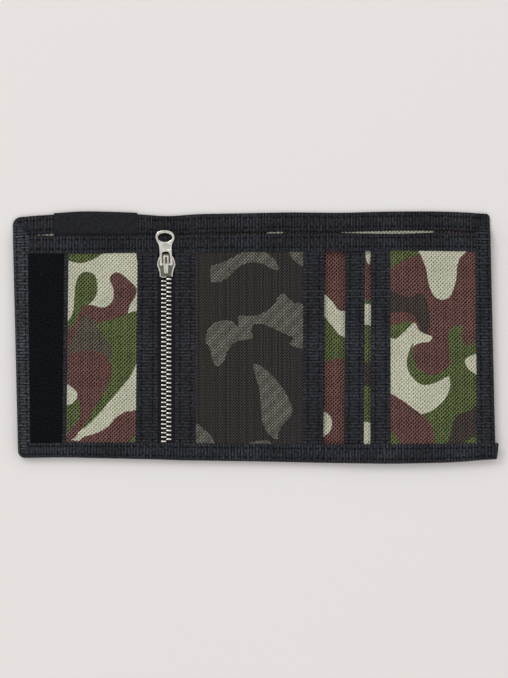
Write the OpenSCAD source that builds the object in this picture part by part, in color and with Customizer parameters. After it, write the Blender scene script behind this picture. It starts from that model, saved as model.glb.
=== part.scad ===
// Trifold wallet of woven cloth with bound edges, lying open with its inner face up.
// X runs along the open width, Y up the height, Z up from the outer face at the back.
// The origin is under the centre of the open wallet.

/* [Overall] */
// Width of the open wallet
open_w = 243; // [240:1:250]
// Height of the wallet
open_h = 125; // [123:1:130]

/* [Cloth] */
// Thickness of the printed cloth
cloth_t = 0.45; // [0.3:0.05:0.5]
// Thickness of the thin cloth at the back of the coin pocket
bag_t = 0.3; // [0.2:0.05:0.35]
// Space for banknotes between the outer cloth and the lining
bill_gap = 0.9; // [0.7:0.1:1.2]
// Space inside the coin pocket and behind the window, above the lining
coin_gap = 1.65; // [1.6:0.05:1.8]
// Space for cards behind the rear and front card pockets
card_gap = 1.15; // [1.1:0.05:1.2]

/* [Binding tape] */
// Thickness of the binding tape at the wallet's edges
tape_t = 0.7; // [0.5:0.05:0.7]
// Thickness of the thin tape at pocket mouths and behind the lining's top edge
trim_t = 0.35; // [0.3:0.05:0.4]
// Thickness of the flat tapes sewn beside the zip
zip_edge_t = 0.5; // [0.4:0.05:0.55]
// Folded width of the binding on the left edge
left_binding_w = 7.3; // [6:0.1:9]
// Folded width of the binding on the right edge
right_binding_w = 8.6; // [6:0.1:9]
// Folded width of the binding on the bottom edge
bottom_binding_w = 9.1; // [7:0.1:10]
// Folded width of the binding on the outer cloth's top edge
top_binding_w = 9.8; // [8:0.1:10]
// How far the lining's top edge lies below the outer cloth's
lining_drop = 10.6; // [10.1:0.1:12]
// Folded width of the binding on the lining's top edge
inner_binding_w = 9.1; // [7:0.1:10]

/* [Zip] */
// Centre line of the zip, in the middle of the left fold
zip_x = -44.6; // [-46:0.1:-44]
// Distance between the two crease lines on each side of the zip
spine_w = 9.6; // [9.6:0.1:10]
// Distance from one tooth to the next on one side
tooth_pitch = 2.2; // [2:0.1:2.4]
// Length of a tooth along the zip
tooth_len = 0.95; // [0.8:0.05:0.98]
// Width of the closed chain of teeth
chain_w = 5.4; // [5:0.1:5.5]
// Height of a tooth
tooth_h = 1.8; // [1.6:0.1:1.8]
// Thickness of the zip's woven tape
zip_tape_t = 0.5; // [0.3:0.05:0.5]
// Length of the slider
slider_len = 11.6; // [11:0.1:12]
// Width of the slider at its shoulders
slider_w = 9.1; // [8.5:0.1:9.1]
// Height of the slider's centre on the wallet when the zip is closed
slider_y = 36.8; // [35:0.1:36.8]
// Overall length of the pull tab
pull_len = 17.7; // [15:0.1:20]
// Width of the pull tab at its eye
pull_w = 9.4; // [9:0.1:9.4]

/* [Panels and pockets] */
// Crease line of the right fold
right_fold_x = 43.4; // [42:0.1:45]
// Left edge of the loop strip
loop_x = -113.9; // [-113.9:0.1:-112]
// Width of the loop strip and of the hook strip
strip_w = 19.1; // [16:0.1:20]
// Left edge of the tape on the window's mouth
window_tape_x = 24.9; // [23:0.1:26]
// Width of the tapes on the pocket mouths
mouth_tape_w = 10; // [8:0.1:11]
// Mouth of the rear card pocket
rear_mouth_x = 46.2; // [46:0.1:47]
// Mouth of the front card pocket
front_mouth_x = 59.4; // [58:0.1:61]

/* [Label] */
// Left edge of the plain label
label_x = -103.1; // [-105:0.1:-100]
// Width of the plain label
label_w = 43.7; // [30:0.1:45]
// Thickness of the label's ribbon
label_t = 0.2; // [0.1:0.05:0.25]

/* [Hidden] */

// Colours
camo_green = "#5E6B49";
camo_beige = "#C4C0AA";
camo_brown = "#664842";
tape_black = "#2B2D33";
strip_black = "#111216";
mesh_grey = "#3A3935";
nickel = "#D2CFC2";

// Outline of the open wallet, and the lines where its bindings end
edge_l = -open_w / 2;
edge_r = open_w / 2;
edge_b = -open_h / 2;
edge_t = open_h / 2;
left_in = edge_l + left_binding_w;
right_in = edge_r - right_binding_w;
bottom_in = edge_b + bottom_binding_w;
top_in = edge_t - top_binding_w;
lining_t = edge_t - lining_drop;
lining_in = lining_t - inner_binding_w;

// Cloth ends against the folded edge of its binding
cloth_l = edge_l + tape_t;
cloth_r = edge_r - tape_t;
cloth_b = edge_b + tape_t;
cloth_top = edge_t - tape_t;
lining_cloth_t = lining_t - tape_t;

// Half of the slit left between panels at a crease, so that they fold freely
slit = 0.15;
crease_mid = zip_x + spine_w / 2;
crease_left = zip_x - spine_w / 2;
left_r = crease_left - slit;
spine_l = crease_left + slit;
spine_r = crease_mid - slit;
middle_l = crease_mid + slit;
middle_r = right_fold_x - slit;
right_l = right_fold_x + slit;

// Levels, from the outer face up
z_shell = tape_t;
z_shell_top = z_shell + cloth_t;
z_lining = z_shell_top + bill_gap;
z_lining_top = z_lining + cloth_t;
z_front = z_lining_top + coin_gap;
z_front_top = z_front + cloth_t;
z_face = z_front_top + tape_t;
z_rear_card = z_lining_top + card_gap;
z_rear_card_top = z_rear_card + cloth_t;
z_front_card = z_rear_card_top + card_gap;
z_front_card_top = z_front_card + cloth_t;
z_right_face = z_front_card_top + tape_t;
z_inner_leg = z_lining - trim_t;

// Strips and tapes on the face stop just short of the bindings
face_gap = 0.1;
face_b = bottom_in + face_gap;
face_t = lining_in - face_gap;
loop_t = 1.2;
hook_t = tape_t;
// Where the loop strip lands on the back of the folded right panel
hook_x = 2 * right_fold_x - crease_mid - crease_left + loop_x;

// Zip
z_chain = z_front - zip_tape_t / 2;
tape_edge = 0.9;
tooth_reach = 0.7;
tooth_leg_clear = 0.05;
wing_w = 7.4;
tooth_room = 0.05;
row_b = face_b + tooth_room;
row_t = face_t - tooth_room;
row_count = floor((row_t - row_b - tooth_len - tooth_pitch / 2) / tooth_pitch) + 1;

// Slider
plate_t = 0.6;
base_plate_t = 0.5;
chain_clear = 0.1;
z_plate = z_chain + tooth_h / 2 + chain_clear;
z_plate_top = z_plate + plate_t;
z_base = z_chain - tooth_h / 2 - chain_clear;
flange_h = 0.55;
flange_t = 0.5;
tail_half_w = chain_w / 2 + 0.65;
nose_half_w = slider_w / 2 - 0.9;

// Pull tab and the bridge that holds its bar
bar_r = 0.5;
bar_y = slider_y + 0.4;
z_bar = z_plate_top + 0.1 + bar_r;
bridge_w = 3;
bridge_len = 9.6;
bridge_post = 1.4;
bridge_t = 0.55;
bridge_lift = 0.2;
z_bridge_in = z_bar + bar_r + bridge_lift;
z_bridge_top = z_bridge_in + bridge_t;
arm_in = bridge_w / 2 + 0.3;
arm_out = 3.1;
yoke_top = 6.3;
eye_w = 7.2;
eye_h = 4.6;
pull_top = bar_y - bar_r + pull_len;
eye_rim = 1.3;
eye_y = pull_top - eye_rim - eye_h / 2;
arc_steps = 24;

// A flat piece between two corners
module slab(x0, x1, y0, y1, z0, z1) {
  translate([x0, y0, z0]) cube([x1 - x0, y1 - y0, z1 - z0]);
}

// Outline of tape folded round an edge: a web at w, and legs that reach to e
function fold_outline(w, e, z0, z1, web, back, front) =
  let (inner = w + sign(e - w) * web)
  [
    [w, z0], [e, z0], [e, z0 + back], [inner, z0 + back],
    [inner, z1 - front], [e, z1 - front], [e, z1], [w, z1]
  ];

// Folded tape that runs along X
module tape_along_x(x0, x1, w, e, z0, z1, web, back, front) {
  translate([x0, 0, 0]) rotate([90, 0, 90]) linear_extrude(height = x1 - x0)
    polygon(fold_outline(w, e, z0, z1, web, back, front));
}

// Folded tape that runs along Y
module tape_along_y(y0, y1, w, e, z0, z1, web, back, front) {
  translate([0, y1, 0]) rotate([90, 0, 0]) linear_extrude(height = y1 - y0)
    polygon(fold_outline(w, e, z0, z1, web, back, front));
}

// Lengths of the three bindings that run the whole width
module bottom_binding(x0, x1, top, front) {
  tape_along_x(x0, x1, edge_b, bottom_in, 0, top, tape_t, tape_t, front);
}

module top_binding(x0, x1) {
  tape_along_x(x0, x1, edge_t, top_in, 0, z_shell_top + tape_t, tape_t, tape_t, tape_t);
}

module inner_binding(x0, x1, top, front) {
  tape_along_x(x0, x1, lining_t, lining_in, z_inner_leg, top, tape_t, trim_t, front);
}

// Tape folded round a pocket's mouth, w at the mouth and e on the pocket
module mouth_tape(w, e, z_cloth) {
  tape_along_y(face_b, face_t, w, e, z_cloth - trim_t, z_cloth + cloth_t + trim_t,
    trim_t, trim_t, trim_t);
}

// Outer cloth
module shell(x0, x1) {
  slab(x0, x1, cloth_b, cloth_top, z_shell, z_shell_top);
}

// Cloth that hangs from the lining's top binding
module inner_sheet(x0, x1, z0, z1) {
  slab(x0, x1, cloth_b, lining_cloth_t, z0, z1);
}

// Left panel

module shell_left() {
  color(camo_green) shell(cloth_l, left_r);
}

module coin_pocket_back_left() {
  color(tape_black) inner_sheet(cloth_l, left_r, z_lining, z_lining + bag_t);
}

module coin_pocket_front() {
  color(camo_green) inner_sheet(cloth_l, left_r, z_front, z_front_top);
}

module loop_strip() {
  color(strip_black) slab(loop_x, loop_x + strip_w, face_b, face_t, z_front_top, z_front_top + loop_t);
}

module binding_left() {
  color(tape_black) tape_along_y(bottom_in, top_in, edge_l, left_in, 0, z_face, tape_t, tape_t, tape_t);
}

module binding_top_left() {
  color(tape_black) difference() {
    top_binding(edge_l, left_r);
    slab(label_x, label_x + label_w, top_in - 1, edge_t + 1, -1, label_t);
    slab(label_x, label_x + label_w, edge_t - label_t, edge_t + 1, -1, z_face);
  }
}

module binding_inner_top_left() {
  color(tape_black) inner_binding(left_in + slit, left_r, z_face, tape_t);
}

module binding_bottom_left() {
  color(tape_black) bottom_binding(edge_l, left_r, z_face, tape_t);
}

module zip_edge_tape_left() {
  color(tape_black) slab(left_r - mouth_tape_w, left_r, face_b, face_t, z_front_top, z_front_top + zip_edge_t);
}

module zip_tape_wing_left() {
  color(tape_black) inner_sheet(left_r - wing_w, left_r, z_front - zip_tape_t, z_front);
}

module label_tab() {
  color(strip_black) tape_along_x(label_x, label_x + label_w, edge_t, top_in + 0.4, 0,
    z_shell_top + tape_t + label_t, label_t, label_t, label_t);
}

// Narrow panel under the zip, which becomes the wallet's spine when it is folded

module shell_spine() {
  color(camo_green) shell(spine_l, spine_r);
}

module coin_pocket_back_spine() {
  color(tape_black) inner_sheet(spine_l, spine_r, z_lining, z_lining + bag_t);
}

module zip_tape_left() {
  color(tape_black) inner_sheet(spine_l, zip_x - tape_edge, z_front - zip_tape_t, z_front);
}

module zip_tape_right() {
  color(tape_black) inner_sheet(zip_x + tape_edge, spine_r, z_front - zip_tape_t, z_front);
}

// One tooth: a head on the chain's centre line, and two legs that grip the tape
module tooth(side) {
  leg_gap = zip_tape_t / 2 + tooth_leg_clear;
  outline = [
    [tooth_reach, -tooth_h / 2], [tooth_reach, tooth_h / 2],
    [-chain_w / 2, tooth_h / 2], [-chain_w / 2, leg_gap],
    [-tape_edge + tooth_leg_clear, leg_gap], [-tape_edge + tooth_leg_clear, -leg_gap],
    [-chain_w / 2, -leg_gap], [-chain_w / 2, -tooth_h / 2]
  ];
  translate([0, tooth_len, 0]) rotate([90, 0, 0]) linear_extrude(height = tooth_len)
    polygon([for (p = outline) [side * p[0], p[1]]]);
}

module tooth_row(side, start) {
  for (i = [0 : row_count - 1])
    translate([zip_x, start + i * tooth_pitch, z_chain]) tooth(side);
}

module zip_teeth_left() {
  color(nickel) tooth_row(1, row_b);
}

module zip_teeth_right() {
  color(nickel) tooth_row(-1, row_b + tooth_pitch / 2);
}

module binding_top_spine() {
  color(tape_black) top_binding(spine_l, spine_r);
}

module binding_inner_top_spine() {
  color(tape_black) inner_binding(spine_l, spine_r, z_face, z_face - z_front);
}

module binding_bottom_spine() {
  color(tape_black) bottom_binding(spine_l, spine_r, z_face, z_face - z_front);
}

// Middle panel

module shell_middle() {
  color(camo_green) shell(middle_l, middle_r);
}

module lining_middle() {
  color(camo_brown) inner_sheet(middle_l, middle_r, z_lining, z_lining_top);
}

module mesh_window() {
  color(mesh_grey) inner_sheet(middle_l, window_tape_x + mouth_tape_w - trim_t, z_front, z_front_top);
}

module zip_edge_tape_right() {
  color(tape_black) slab(middle_l, middle_l + mouth_tape_w, face_b, face_t, z_front_top, z_front_top + zip_edge_t);
}

module zip_tape_wing_right() {
  color(tape_black) inner_sheet(middle_l, middle_l + wing_w, z_front - zip_tape_t, z_front);
}

module window_edge_tape() {
  color(tape_black) mouth_tape(window_tape_x + mouth_tape_w, window_tape_x, z_front);
}

module binding_top_middle() {
  color(tape_black) top_binding(middle_l, middle_r);
}

module binding_inner_top_middle() {
  color(tape_black) inner_binding(middle_l, middle_r, z_face, tape_t);
}

module binding_bottom_middle() {
  color(tape_black) bottom_binding(middle_l, middle_r, z_face, tape_t);
}

// Right panel

module shell_right() {
  color(camo_green) shell(right_l, cloth_r);
}

module lining_right() {
  color(camo_brown) inner_sheet(right_l, cloth_r, z_lining, z_lining_top);
}

module card_pocket_rear() {
  color(camo_beige) inner_sheet(rear_mouth_x + trim_t, cloth_r, z_rear_card, z_rear_card_top);
}

module rear_pocket_edge_tape() {
  color(tape_black) mouth_tape(rear_mouth_x, rear_mouth_x + mouth_tape_w, z_rear_card);
}

module card_pocket_front() {
  color(camo_green) inner_sheet(front_mouth_x + trim_t, cloth_r, z_front_card, z_front_card_top);
}

module front_pocket_edge_tape() {
  color(tape_black) mouth_tape(front_mouth_x, front_mouth_x + mouth_tape_w, z_front_card);
}

module hook_strip() {
  color(strip_black) slab(hook_x, hook_x + strip_w, face_b, face_t, 0, hook_t);
}

module binding_right() {
  color(tape_black) tape_along_y(bottom_in, top_in, edge_r, right_in, 0, z_right_face, tape_t, tape_t, tape_t);
}

module binding_top_right() {
  color(tape_black) top_binding(right_l, edge_r);
}

module binding_inner_top_right() {
  color(tape_black) inner_binding(right_l, right_in - slit, z_right_face, tape_t);
}

module binding_bottom_right() {
  color(tape_black) bottom_binding(right_l, edge_r, z_right_face, tape_t);
}

// Slider and pull tab

// Half outline of the slider's plates, from the tail up to the nose
function slider_half(inset) = [
  [tail_half_w - inset, -slider_len / 2], [tail_half_w - inset, -slider_len / 2 + 1.8],
  [slider_w / 2 - inset, -0.6], [slider_w / 2 - inset, 1.4], [nose_half_w - inset, slider_len / 2]
];

module slider_outline(inset) {
  half = slider_half(inset);
  last = len(half) - 1;
  polygon([for (p = half) p, for (i = [0 : last]) [-half[last - i][0], half[last - i][1]]]);
}

module slider_flange(z) {
  translate([zip_x, slider_y, z]) linear_extrude(height = flange_h) difference() {
    slider_outline(0);
    slider_outline(flange_t);
  }
}

module slider_plate(z, thickness) {
  translate([zip_x, slider_y, z]) linear_extrude(height = thickness) slider_outline(0);
}

module slider_body() {
  color(nickel) {
    slider_plate(z_plate, plate_t);
    slider_flange(z_plate - flange_h);
    slider_plate(z_base - base_plate_t, base_plate_t);
    slider_flange(z_base);
  }
}

// Points on an arc about c, from angle a0 to a1
function arc_points(c, r, a0, a1, n) =
  [for (i = [0 : n]) [c[0] + r * cos(a0 + (a1 - a0) * i / n), c[1] + r * sin(a0 + (a1 - a0) * i / n)]];

module slider_bridge() {
  half = bridge_len / 2;
  corner_r = 0.9;
  corner_z = z_bridge_top - corner_r;
  outline = concat(
    [[-half, z_plate_top]],
    arc_points([-half + corner_r, corner_z], corner_r, 180, 90, 6),
    arc_points([half - corner_r, corner_z], corner_r, 90, 0, 6),
    [[half, z_plate_top], [half - bridge_post, z_plate_top], [half - bridge_post, z_bridge_in],
      [-half + bridge_post, z_bridge_in], [-half + bridge_post, z_plate_top]]
  );
  color(nickel) translate([zip_x - bridge_w / 2, slider_y, 0])
    rotate([90, 0, 90]) linear_extrude(height = bridge_w) polygon(outline);
}

function ellipse_points(w, h, n) = [for (i = [0 : n - 1]) [w / 2 * cos(360 * i / n), h / 2 * sin(360 * i / n)]];

// Plate of the pull tab: an eye, a neck and two arms that straddle the bridge
module pull_plate() {
  difference() {
    union() {
      translate([0, eye_y]) polygon(ellipse_points(pull_w, eye_h + 2 * eye_rim, 2 * arc_steps));
      polygon([
        [-arm_out, bar_y], [arm_out, bar_y], [arm_out, eye_y - eye_h / 2 - 1.4],
        [pull_w / 2 - 0.35, eye_y - 1], [0.35 - pull_w / 2, eye_y - 1], [-arm_out, eye_y - eye_h / 2 - 1.4]
      ]);
    }
    translate([0, eye_y]) polygon(ellipse_points(eye_w, eye_h, 2 * arc_steps));
    polygon(concat(
      [[-arm_in, bar_y - 1], [arm_in, bar_y - 1]],
      arc_points([0, bar_y + yoke_top - arm_in], arm_in, 0, 180, 12)
    ));
  }
}

module pull_tab() {
  color(nickel) {
    translate([zip_x, 0, z_bar - bar_r]) linear_extrude(height = 2 * bar_r) pull_plate();
    translate([zip_x - arm_out, bar_y, z_bar]) rotate([0, 90, 0])
      cylinder(r = bar_r, h = 2 * arm_out, $fn = 32);
  }
}

shell_left();
coin_pocket_back_left();
coin_pocket_front();
loop_strip();
binding_left();
binding_top_left();
binding_inner_top_left();
binding_bottom_left();
zip_edge_tape_left();
zip_tape_wing_left();
label_tab();
shell_spine();
coin_pocket_back_spine();
zip_tape_left();
zip_tape_right();
zip_teeth_left();
zip_teeth_right();
binding_top_spine();
binding_inner_top_spine();
binding_bottom_spine();
shell_middle();
lining_middle();
mesh_window();
zip_edge_tape_right();
zip_tape_wing_right();
window_edge_tape();
binding_top_middle();
binding_inner_top_middle();
binding_bottom_middle();
shell_right();
lining_right();
card_pocket_rear();
rear_pocket_edge_tape();
card_pocket_front();
front_pocket_edge_tape();
hook_strip();
binding_right();
binding_top_right();
binding_inner_top_right();
binding_bottom_right();
slider_body();
slider_bridge();
pull_tab();
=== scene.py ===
"""Trifold wallet of printed polyester cloth, lying open with its inner face up.

Lengths are in millimetres.
"""
import math

import bpy
import numpy as np
from mathutils import Euler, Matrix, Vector
from mathutils.geometry import delaunay_2d_cdt


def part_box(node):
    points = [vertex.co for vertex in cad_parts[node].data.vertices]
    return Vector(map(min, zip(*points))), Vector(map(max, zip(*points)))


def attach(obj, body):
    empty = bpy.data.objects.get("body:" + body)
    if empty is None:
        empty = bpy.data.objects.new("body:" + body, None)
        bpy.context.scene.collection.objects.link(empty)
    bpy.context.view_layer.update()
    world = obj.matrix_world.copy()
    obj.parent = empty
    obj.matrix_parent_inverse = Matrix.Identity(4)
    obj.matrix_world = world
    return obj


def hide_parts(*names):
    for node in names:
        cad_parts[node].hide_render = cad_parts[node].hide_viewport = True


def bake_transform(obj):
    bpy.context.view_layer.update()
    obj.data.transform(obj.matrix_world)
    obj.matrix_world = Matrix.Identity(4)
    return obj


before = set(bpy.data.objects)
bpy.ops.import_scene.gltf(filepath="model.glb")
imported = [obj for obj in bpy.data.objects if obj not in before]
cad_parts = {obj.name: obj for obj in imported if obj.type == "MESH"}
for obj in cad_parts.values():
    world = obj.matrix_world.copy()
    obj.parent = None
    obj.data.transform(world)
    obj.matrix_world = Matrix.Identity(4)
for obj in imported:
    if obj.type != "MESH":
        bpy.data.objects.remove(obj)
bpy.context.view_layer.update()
MM = 0.001

# ---------------------------------------------------------------- places taken from the frame


def low(node, axis):
    """Lowest coordinate of a CAD node along x, y or z."""
    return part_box(node)[0]["xyz".index(axis)] / MM


def high(node, axis):
    """Highest coordinate of a CAD node along x, y or z."""
    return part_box(node)[1]["xyz".index(axis)] / MM


LEFT_EDGE = low("binding_left", "x")
LEFT_IN = high("binding_left", "x")
RIGHT_IN = low("binding_right", "x")
RIGHT_EDGE = high("binding_right", "x")
TOP_EDGE = high("binding_top_middle", "y")
TOP_IN = low("binding_top_middle", "y")
LINING_TOP = high("binding_inner_top_middle", "y")
LINING_IN = low("binding_inner_top_middle", "y")
BOTTOM_IN = high("binding_bottom_middle", "y")
BOTTOM_EDGE = low("binding_bottom_middle", "y")
CREASE_LEFT = high("shell_left", "x")
CREASE_MIDDLE = low("shell_middle", "x")
CREASE_RIGHT = high("shell_middle", "x")
FACE = high("binding_left", "z")
FACE_RIGHT = high("binding_right", "z")
ZIP_CENTRE = (low("slider_body", "x") + high("slider_body", "x")) / 2

# A skin that runs across all three creases is made in three lengths, cut under the zip and in the
# middle panel.
CUT_UNDER_ZIP = ZIP_CENTRE
CUT_IN_MIDDLE = 2.0
# Bodies that each fold joins, and where its bend starts and ends. The left bend keeps clear of the slider.
BEND = 4.6
FOLDS = {
    "left": ("left_flap", "spine", CREASE_LEFT - 7.4, CREASE_LEFT + 0.2),
    "middle": ("spine", "middle", CREASE_MIDDLE - BEND, CREASE_MIDDLE + BEND),
    # Named from the flap's side, so that the half turn goes round the outside.
    "right": ("right_flap", "middle", CREASE_RIGHT + BEND, CREASE_RIGHT - BEND),
    # The lining lies close under the slider, so it bends beside it.
    "lining": ("spine", "middle", CREASE_MIDDLE - 0.3, CREASE_MIDDLE + 5.2),
}
LENGTHS = {
    "left": (-math.inf, CUT_UNDER_ZIP),
    "middle": (CUT_UNDER_ZIP, CUT_IN_MIDDLE),
    "right": (CUT_IN_MIDDLE, math.inf),
}

# ---------------------------------------------------------------- sewing and zip facts

TAPE_THICK = 0.55
FOLD_ROUND = 1.9
# What is finer than about a millimetre does not show from the camera, so the tapes' ribs, the cloth's
# threads and the net are drawn coarser than real ones.
RIB = 1.54
RIB_RELIEF = 0.1
THREAD = 0.95
WARP = 1.18
WEFT = 1.04
NET_PITCH = 1.07
# Rows are shares of the tape's width. A stitch pulls the tape in by the dip and stands a little out of it.
STITCH_ROWS = (0.24, 0.76)
STITCH_PITCH = 3.2
STITCH_LONG = 2.3
STITCH_RADIUS = 0.27
STITCH_DIP = 0.32
STITCH_RISE = 0.22
# How far inside the bindings' folds the cloth ends, so that it stays in them when the wallet closes.
CLOTH_INSET = 2.2
HOOK_BASE = 0.3
HOOK_ROWS = 1.7
HOOK_STEP = 1.5
TOOTH_PITCH = 2.2
TOOTH_LONG = 0.95

# ---------------------------------------------------------------- how the wallet lies

# How far each edge wanders from a straight line: (x, shift in y) at a few places along it.
TOP_WANDER = [
    (-121, -1.6), (-115, -0.7), (-100, 0.3), (-89, 1.2), (-73, 0.9), (-58, 0.3), (-44, -0.9),
    (-30, 0.4), (-6, 0.8), (19, 1.3), (43, 1.0), (68, 1.7), (93, 1.8), (108, 1.3), (120, 0.4),
]
LINING_TOP_WANDER = [
    (-96, 0.0), (-40, 0.3), (8, 1.1), (44, 1.5), (54, 1.0), (72, 0.8), (84, 1.1), (92, 1.5), (113, 1.5),
]
LINING_IN_WANDER = [(-96, -0.3), (-45, 0.5), (35, 0.9), (73, 1.4), (113, 0.9)]
BOTTOM_IN_WANDER = [(-60, 0.0), (35, -0.9), (113, -0.4)]
BOTTOM_WANDER = [
    (-119, 1.2), (-96, 1.5), (-60, 0.7), (-48, 0.4), (-38, 0.0), (3, -0.6), (36, -1.3), (70, -1.8),
    (101, -1.1), (123, 0.8),
]
# How much each upright line leans: (x, sideways shift for each millimetre up).
LEAN = [
    (-121.5, -0.0235), (-114, -0.010), (-96, 0.011), (-60, 0.011), (-50, 0.0), (24, 0.0), (36, 0.008),
    (57, 0.006), (69, -0.002), (113, -0.009), (121.5, -0.0235),
]
# Corner: which way it lies from the middle, and how far it is rounded.
CORNERS = [(-1, 1, 4.0), (-1, -1, 4.0), (1, 1, 2.2)]


def wander(points, x):
    """Shift at x along an edge, smoothed over a few millimetres."""
    xs, shifts = zip(*points)
    return sum(np.interp(x + near, xs, shifts) for near in (-6, -3, 0, 3, 6)) / 5


def rounded(x, y):
    """Pulls the square corners of the outline in to arcs."""
    for side, end, radius in CORNERS:
        centre_x = (RIGHT_EDGE if side > 0 else LEFT_EDGE) - side * radius
        centre_y = (TOP_EDGE if end > 0 else BOTTOM_EDGE) - end * radius
        out_x = np.maximum((x - centre_x) * side, 0)
        out_y = np.maximum((y - centre_y) * end, 0)
        length = np.hypot(out_x, out_y)
        pull = np.maximum(out_x, out_y) / np.maximum(length, 1e-6)
        corner = (out_x > 0) & (out_y > 0)
        x = np.where(corner, centre_x + side * out_x * pull, x)
        y = np.where(corner, centre_y + end * out_y * pull, y)
    return x, y


def lie(x, y, outer=False):
    """Where a point of the flat pattern rests on the table.

    The outer layer's top strip wanders on its own.
    """
    x, y = rounded(np.asarray(x, float), np.asarray(y, float))
    rows = [
        (BOTTOM_EDGE, BOTTOM_WANDER),
        (BOTTOM_IN, BOTTOM_IN_WANDER),
        (LINING_IN, LINING_IN_WANDER),
        (TOP_IN if outer else LINING_TOP, TOP_WANDER if outer else LINING_TOP_WANDER),
        (TOP_EDGE, TOP_WANDER),
    ]
    shift = np.zeros(np.broadcast(x, y).shape)
    for (below, near), (above, far) in zip(rows, rows[1:]):
        share = np.clip((y - below) / (above - below), 0, 1)
        above_row = (y > below) | (below == BOTTOM_EDGE)
        between = wander(near, x) * (1 - share) + wander(far, x) * share
        shift = np.where(above_row, between, shift)
    xs, leans = zip(*LEAN)
    return x + np.interp(x, xs, leans) * y, y + shift


def eased(value, start, end):
    """0 before start, 1 after end, smooth between."""
    share = np.clip((value - start) / (end - start), 0, 1)
    return share * share * (3 - 2 * share)


# ---------------------------------------------------------------- meshes


def piece(name, points, faces, uv, material, prints=None):
    """Mesh object from points in millimetres. uv is one place in millimetres for each point."""
    mesh = bpy.data.meshes.new(name)
    mesh.from_pydata((np.asarray(points) * MM).tolist(), [], [list(map(int, face)) for face in faces])
    corner_points = np.zeros(len(mesh.loops), int)
    mesh.loops.foreach_get("vertex_index", corner_points)
    layer = mesh.uv_layers.new(name="cloth")
    layer.data.foreach_set("uv", np.asarray(uv, float)[corner_points].ravel())
    if prints is not None:
        printed = mesh.attributes.new("print", "FLOAT", "FACE")
        printed.data.foreach_set("value", np.asarray(prints, float))
    mesh.materials.append(material)
    mesh.shade_smooth()
    mesh.set_sharp_from_angle(angle=math.radians(48))
    made = bpy.data.objects.new(name, mesh)
    bpy.context.scene.collection.objects.link(made)
    return made


def fasten(made, body=None, fold=None, stands_for=()):
    """Parents a piece to its body's empty, or only bakes its transform if it lies on a fold, and hides the
    CAD nodes that it stands for.
    """
    if fold:
        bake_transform(made)
    else:
        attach(made, body)
    if stands_for:
        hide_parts(*stands_for)
    return made


def tube_faces(stations, around, capped=True):
    """Quads of a closed outline swept through stations.

    The caps pair the outline's first half with its second.
    """
    faces = []
    for i in range(stations - 1):
        for k in range(around):
            j = (k + 1) % around
            near, far = i * around, (i + 1) * around
            faces.append((near + k, far + k, far + j, near + j))
    if capped:
        last = (stations - 1) * around
        for k in range(around // 2 - 1):
            a, b, c, d = k, k + 1, around - 2 - k, around - 1 - k
            faces.append((a, b, c, d))
            faces.append((last + d, last + c, last + b, last + a))
    return faces


# ---------------------------------------------------------------- tapes and their stitches


def stitch_dips(across, width):
    """How deep the two rows of stitches pull a tape in, at a distance across it."""
    return sum(np.exp(-(((across - row * width) / 0.65) ** 2)) for row in STITCH_ROWS)


def folded_outline(width, height):
    """Once round a tape folded over an edge.

    Each point is its distance from the fold, its share of the height, its offset in height, and how much of
    the stitches' dip it takes.
    """
    bend = min(FOLD_ROUND, height / 2)
    flat = np.linspace(width, bend, 15)
    turn = np.linspace(math.pi / 2, -math.pi / 2, 9)[1:-1]
    outside = []
    for across in flat:
        worn = 0.22 * np.exp(-(width - across) / 0.35)
        outside.append((across, 1.0, -worn, 1.0))
    for angle in turn:
        outside.append((bend * (1 - math.cos(angle)), 0.5 + 0.5 * math.sin(angle), 0.0, 0.0))
    for across in flat[::-1]:
        outside.append((across, 0.0, 0.0, -0.4))
    lined = []
    for across in flat:
        lined.append((across, 1.0, -TAPE_THICK, 1.0))
    for angle in turn:
        across = TAPE_THICK + (bend - TAPE_THICK) * (1 - math.cos(angle))
        lined.append((across, 0.5 + 0.5 * math.sin(angle), -TAPE_THICK * math.sin(angle), 0.0))
    for across in flat[::-1]:
        lined.append((across, 0.0, TAPE_THICK, -0.4))
    return np.array(outside + lined[::-1])


def flat_outline(width):
    """Once round a flat tape: front from edge to edge and back again underneath."""
    across = np.linspace(width, 0, 21)
    edge = np.minimum(across, width - across)
    worn = -0.16 * np.exp(-edge / 0.3)
    front = [(s, 1.0, w, 1.0) for s, w in zip(across, worn)]
    back = [(s, 0.0, 0.0, 0.0) for s in across[::-1]]
    return np.array(front + back)


def level(value):
    """A height that is the same all along, or one that already depends on the place."""
    return value if callable(value) else lambda along: np.full(np.shape(along), float(value))


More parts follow.
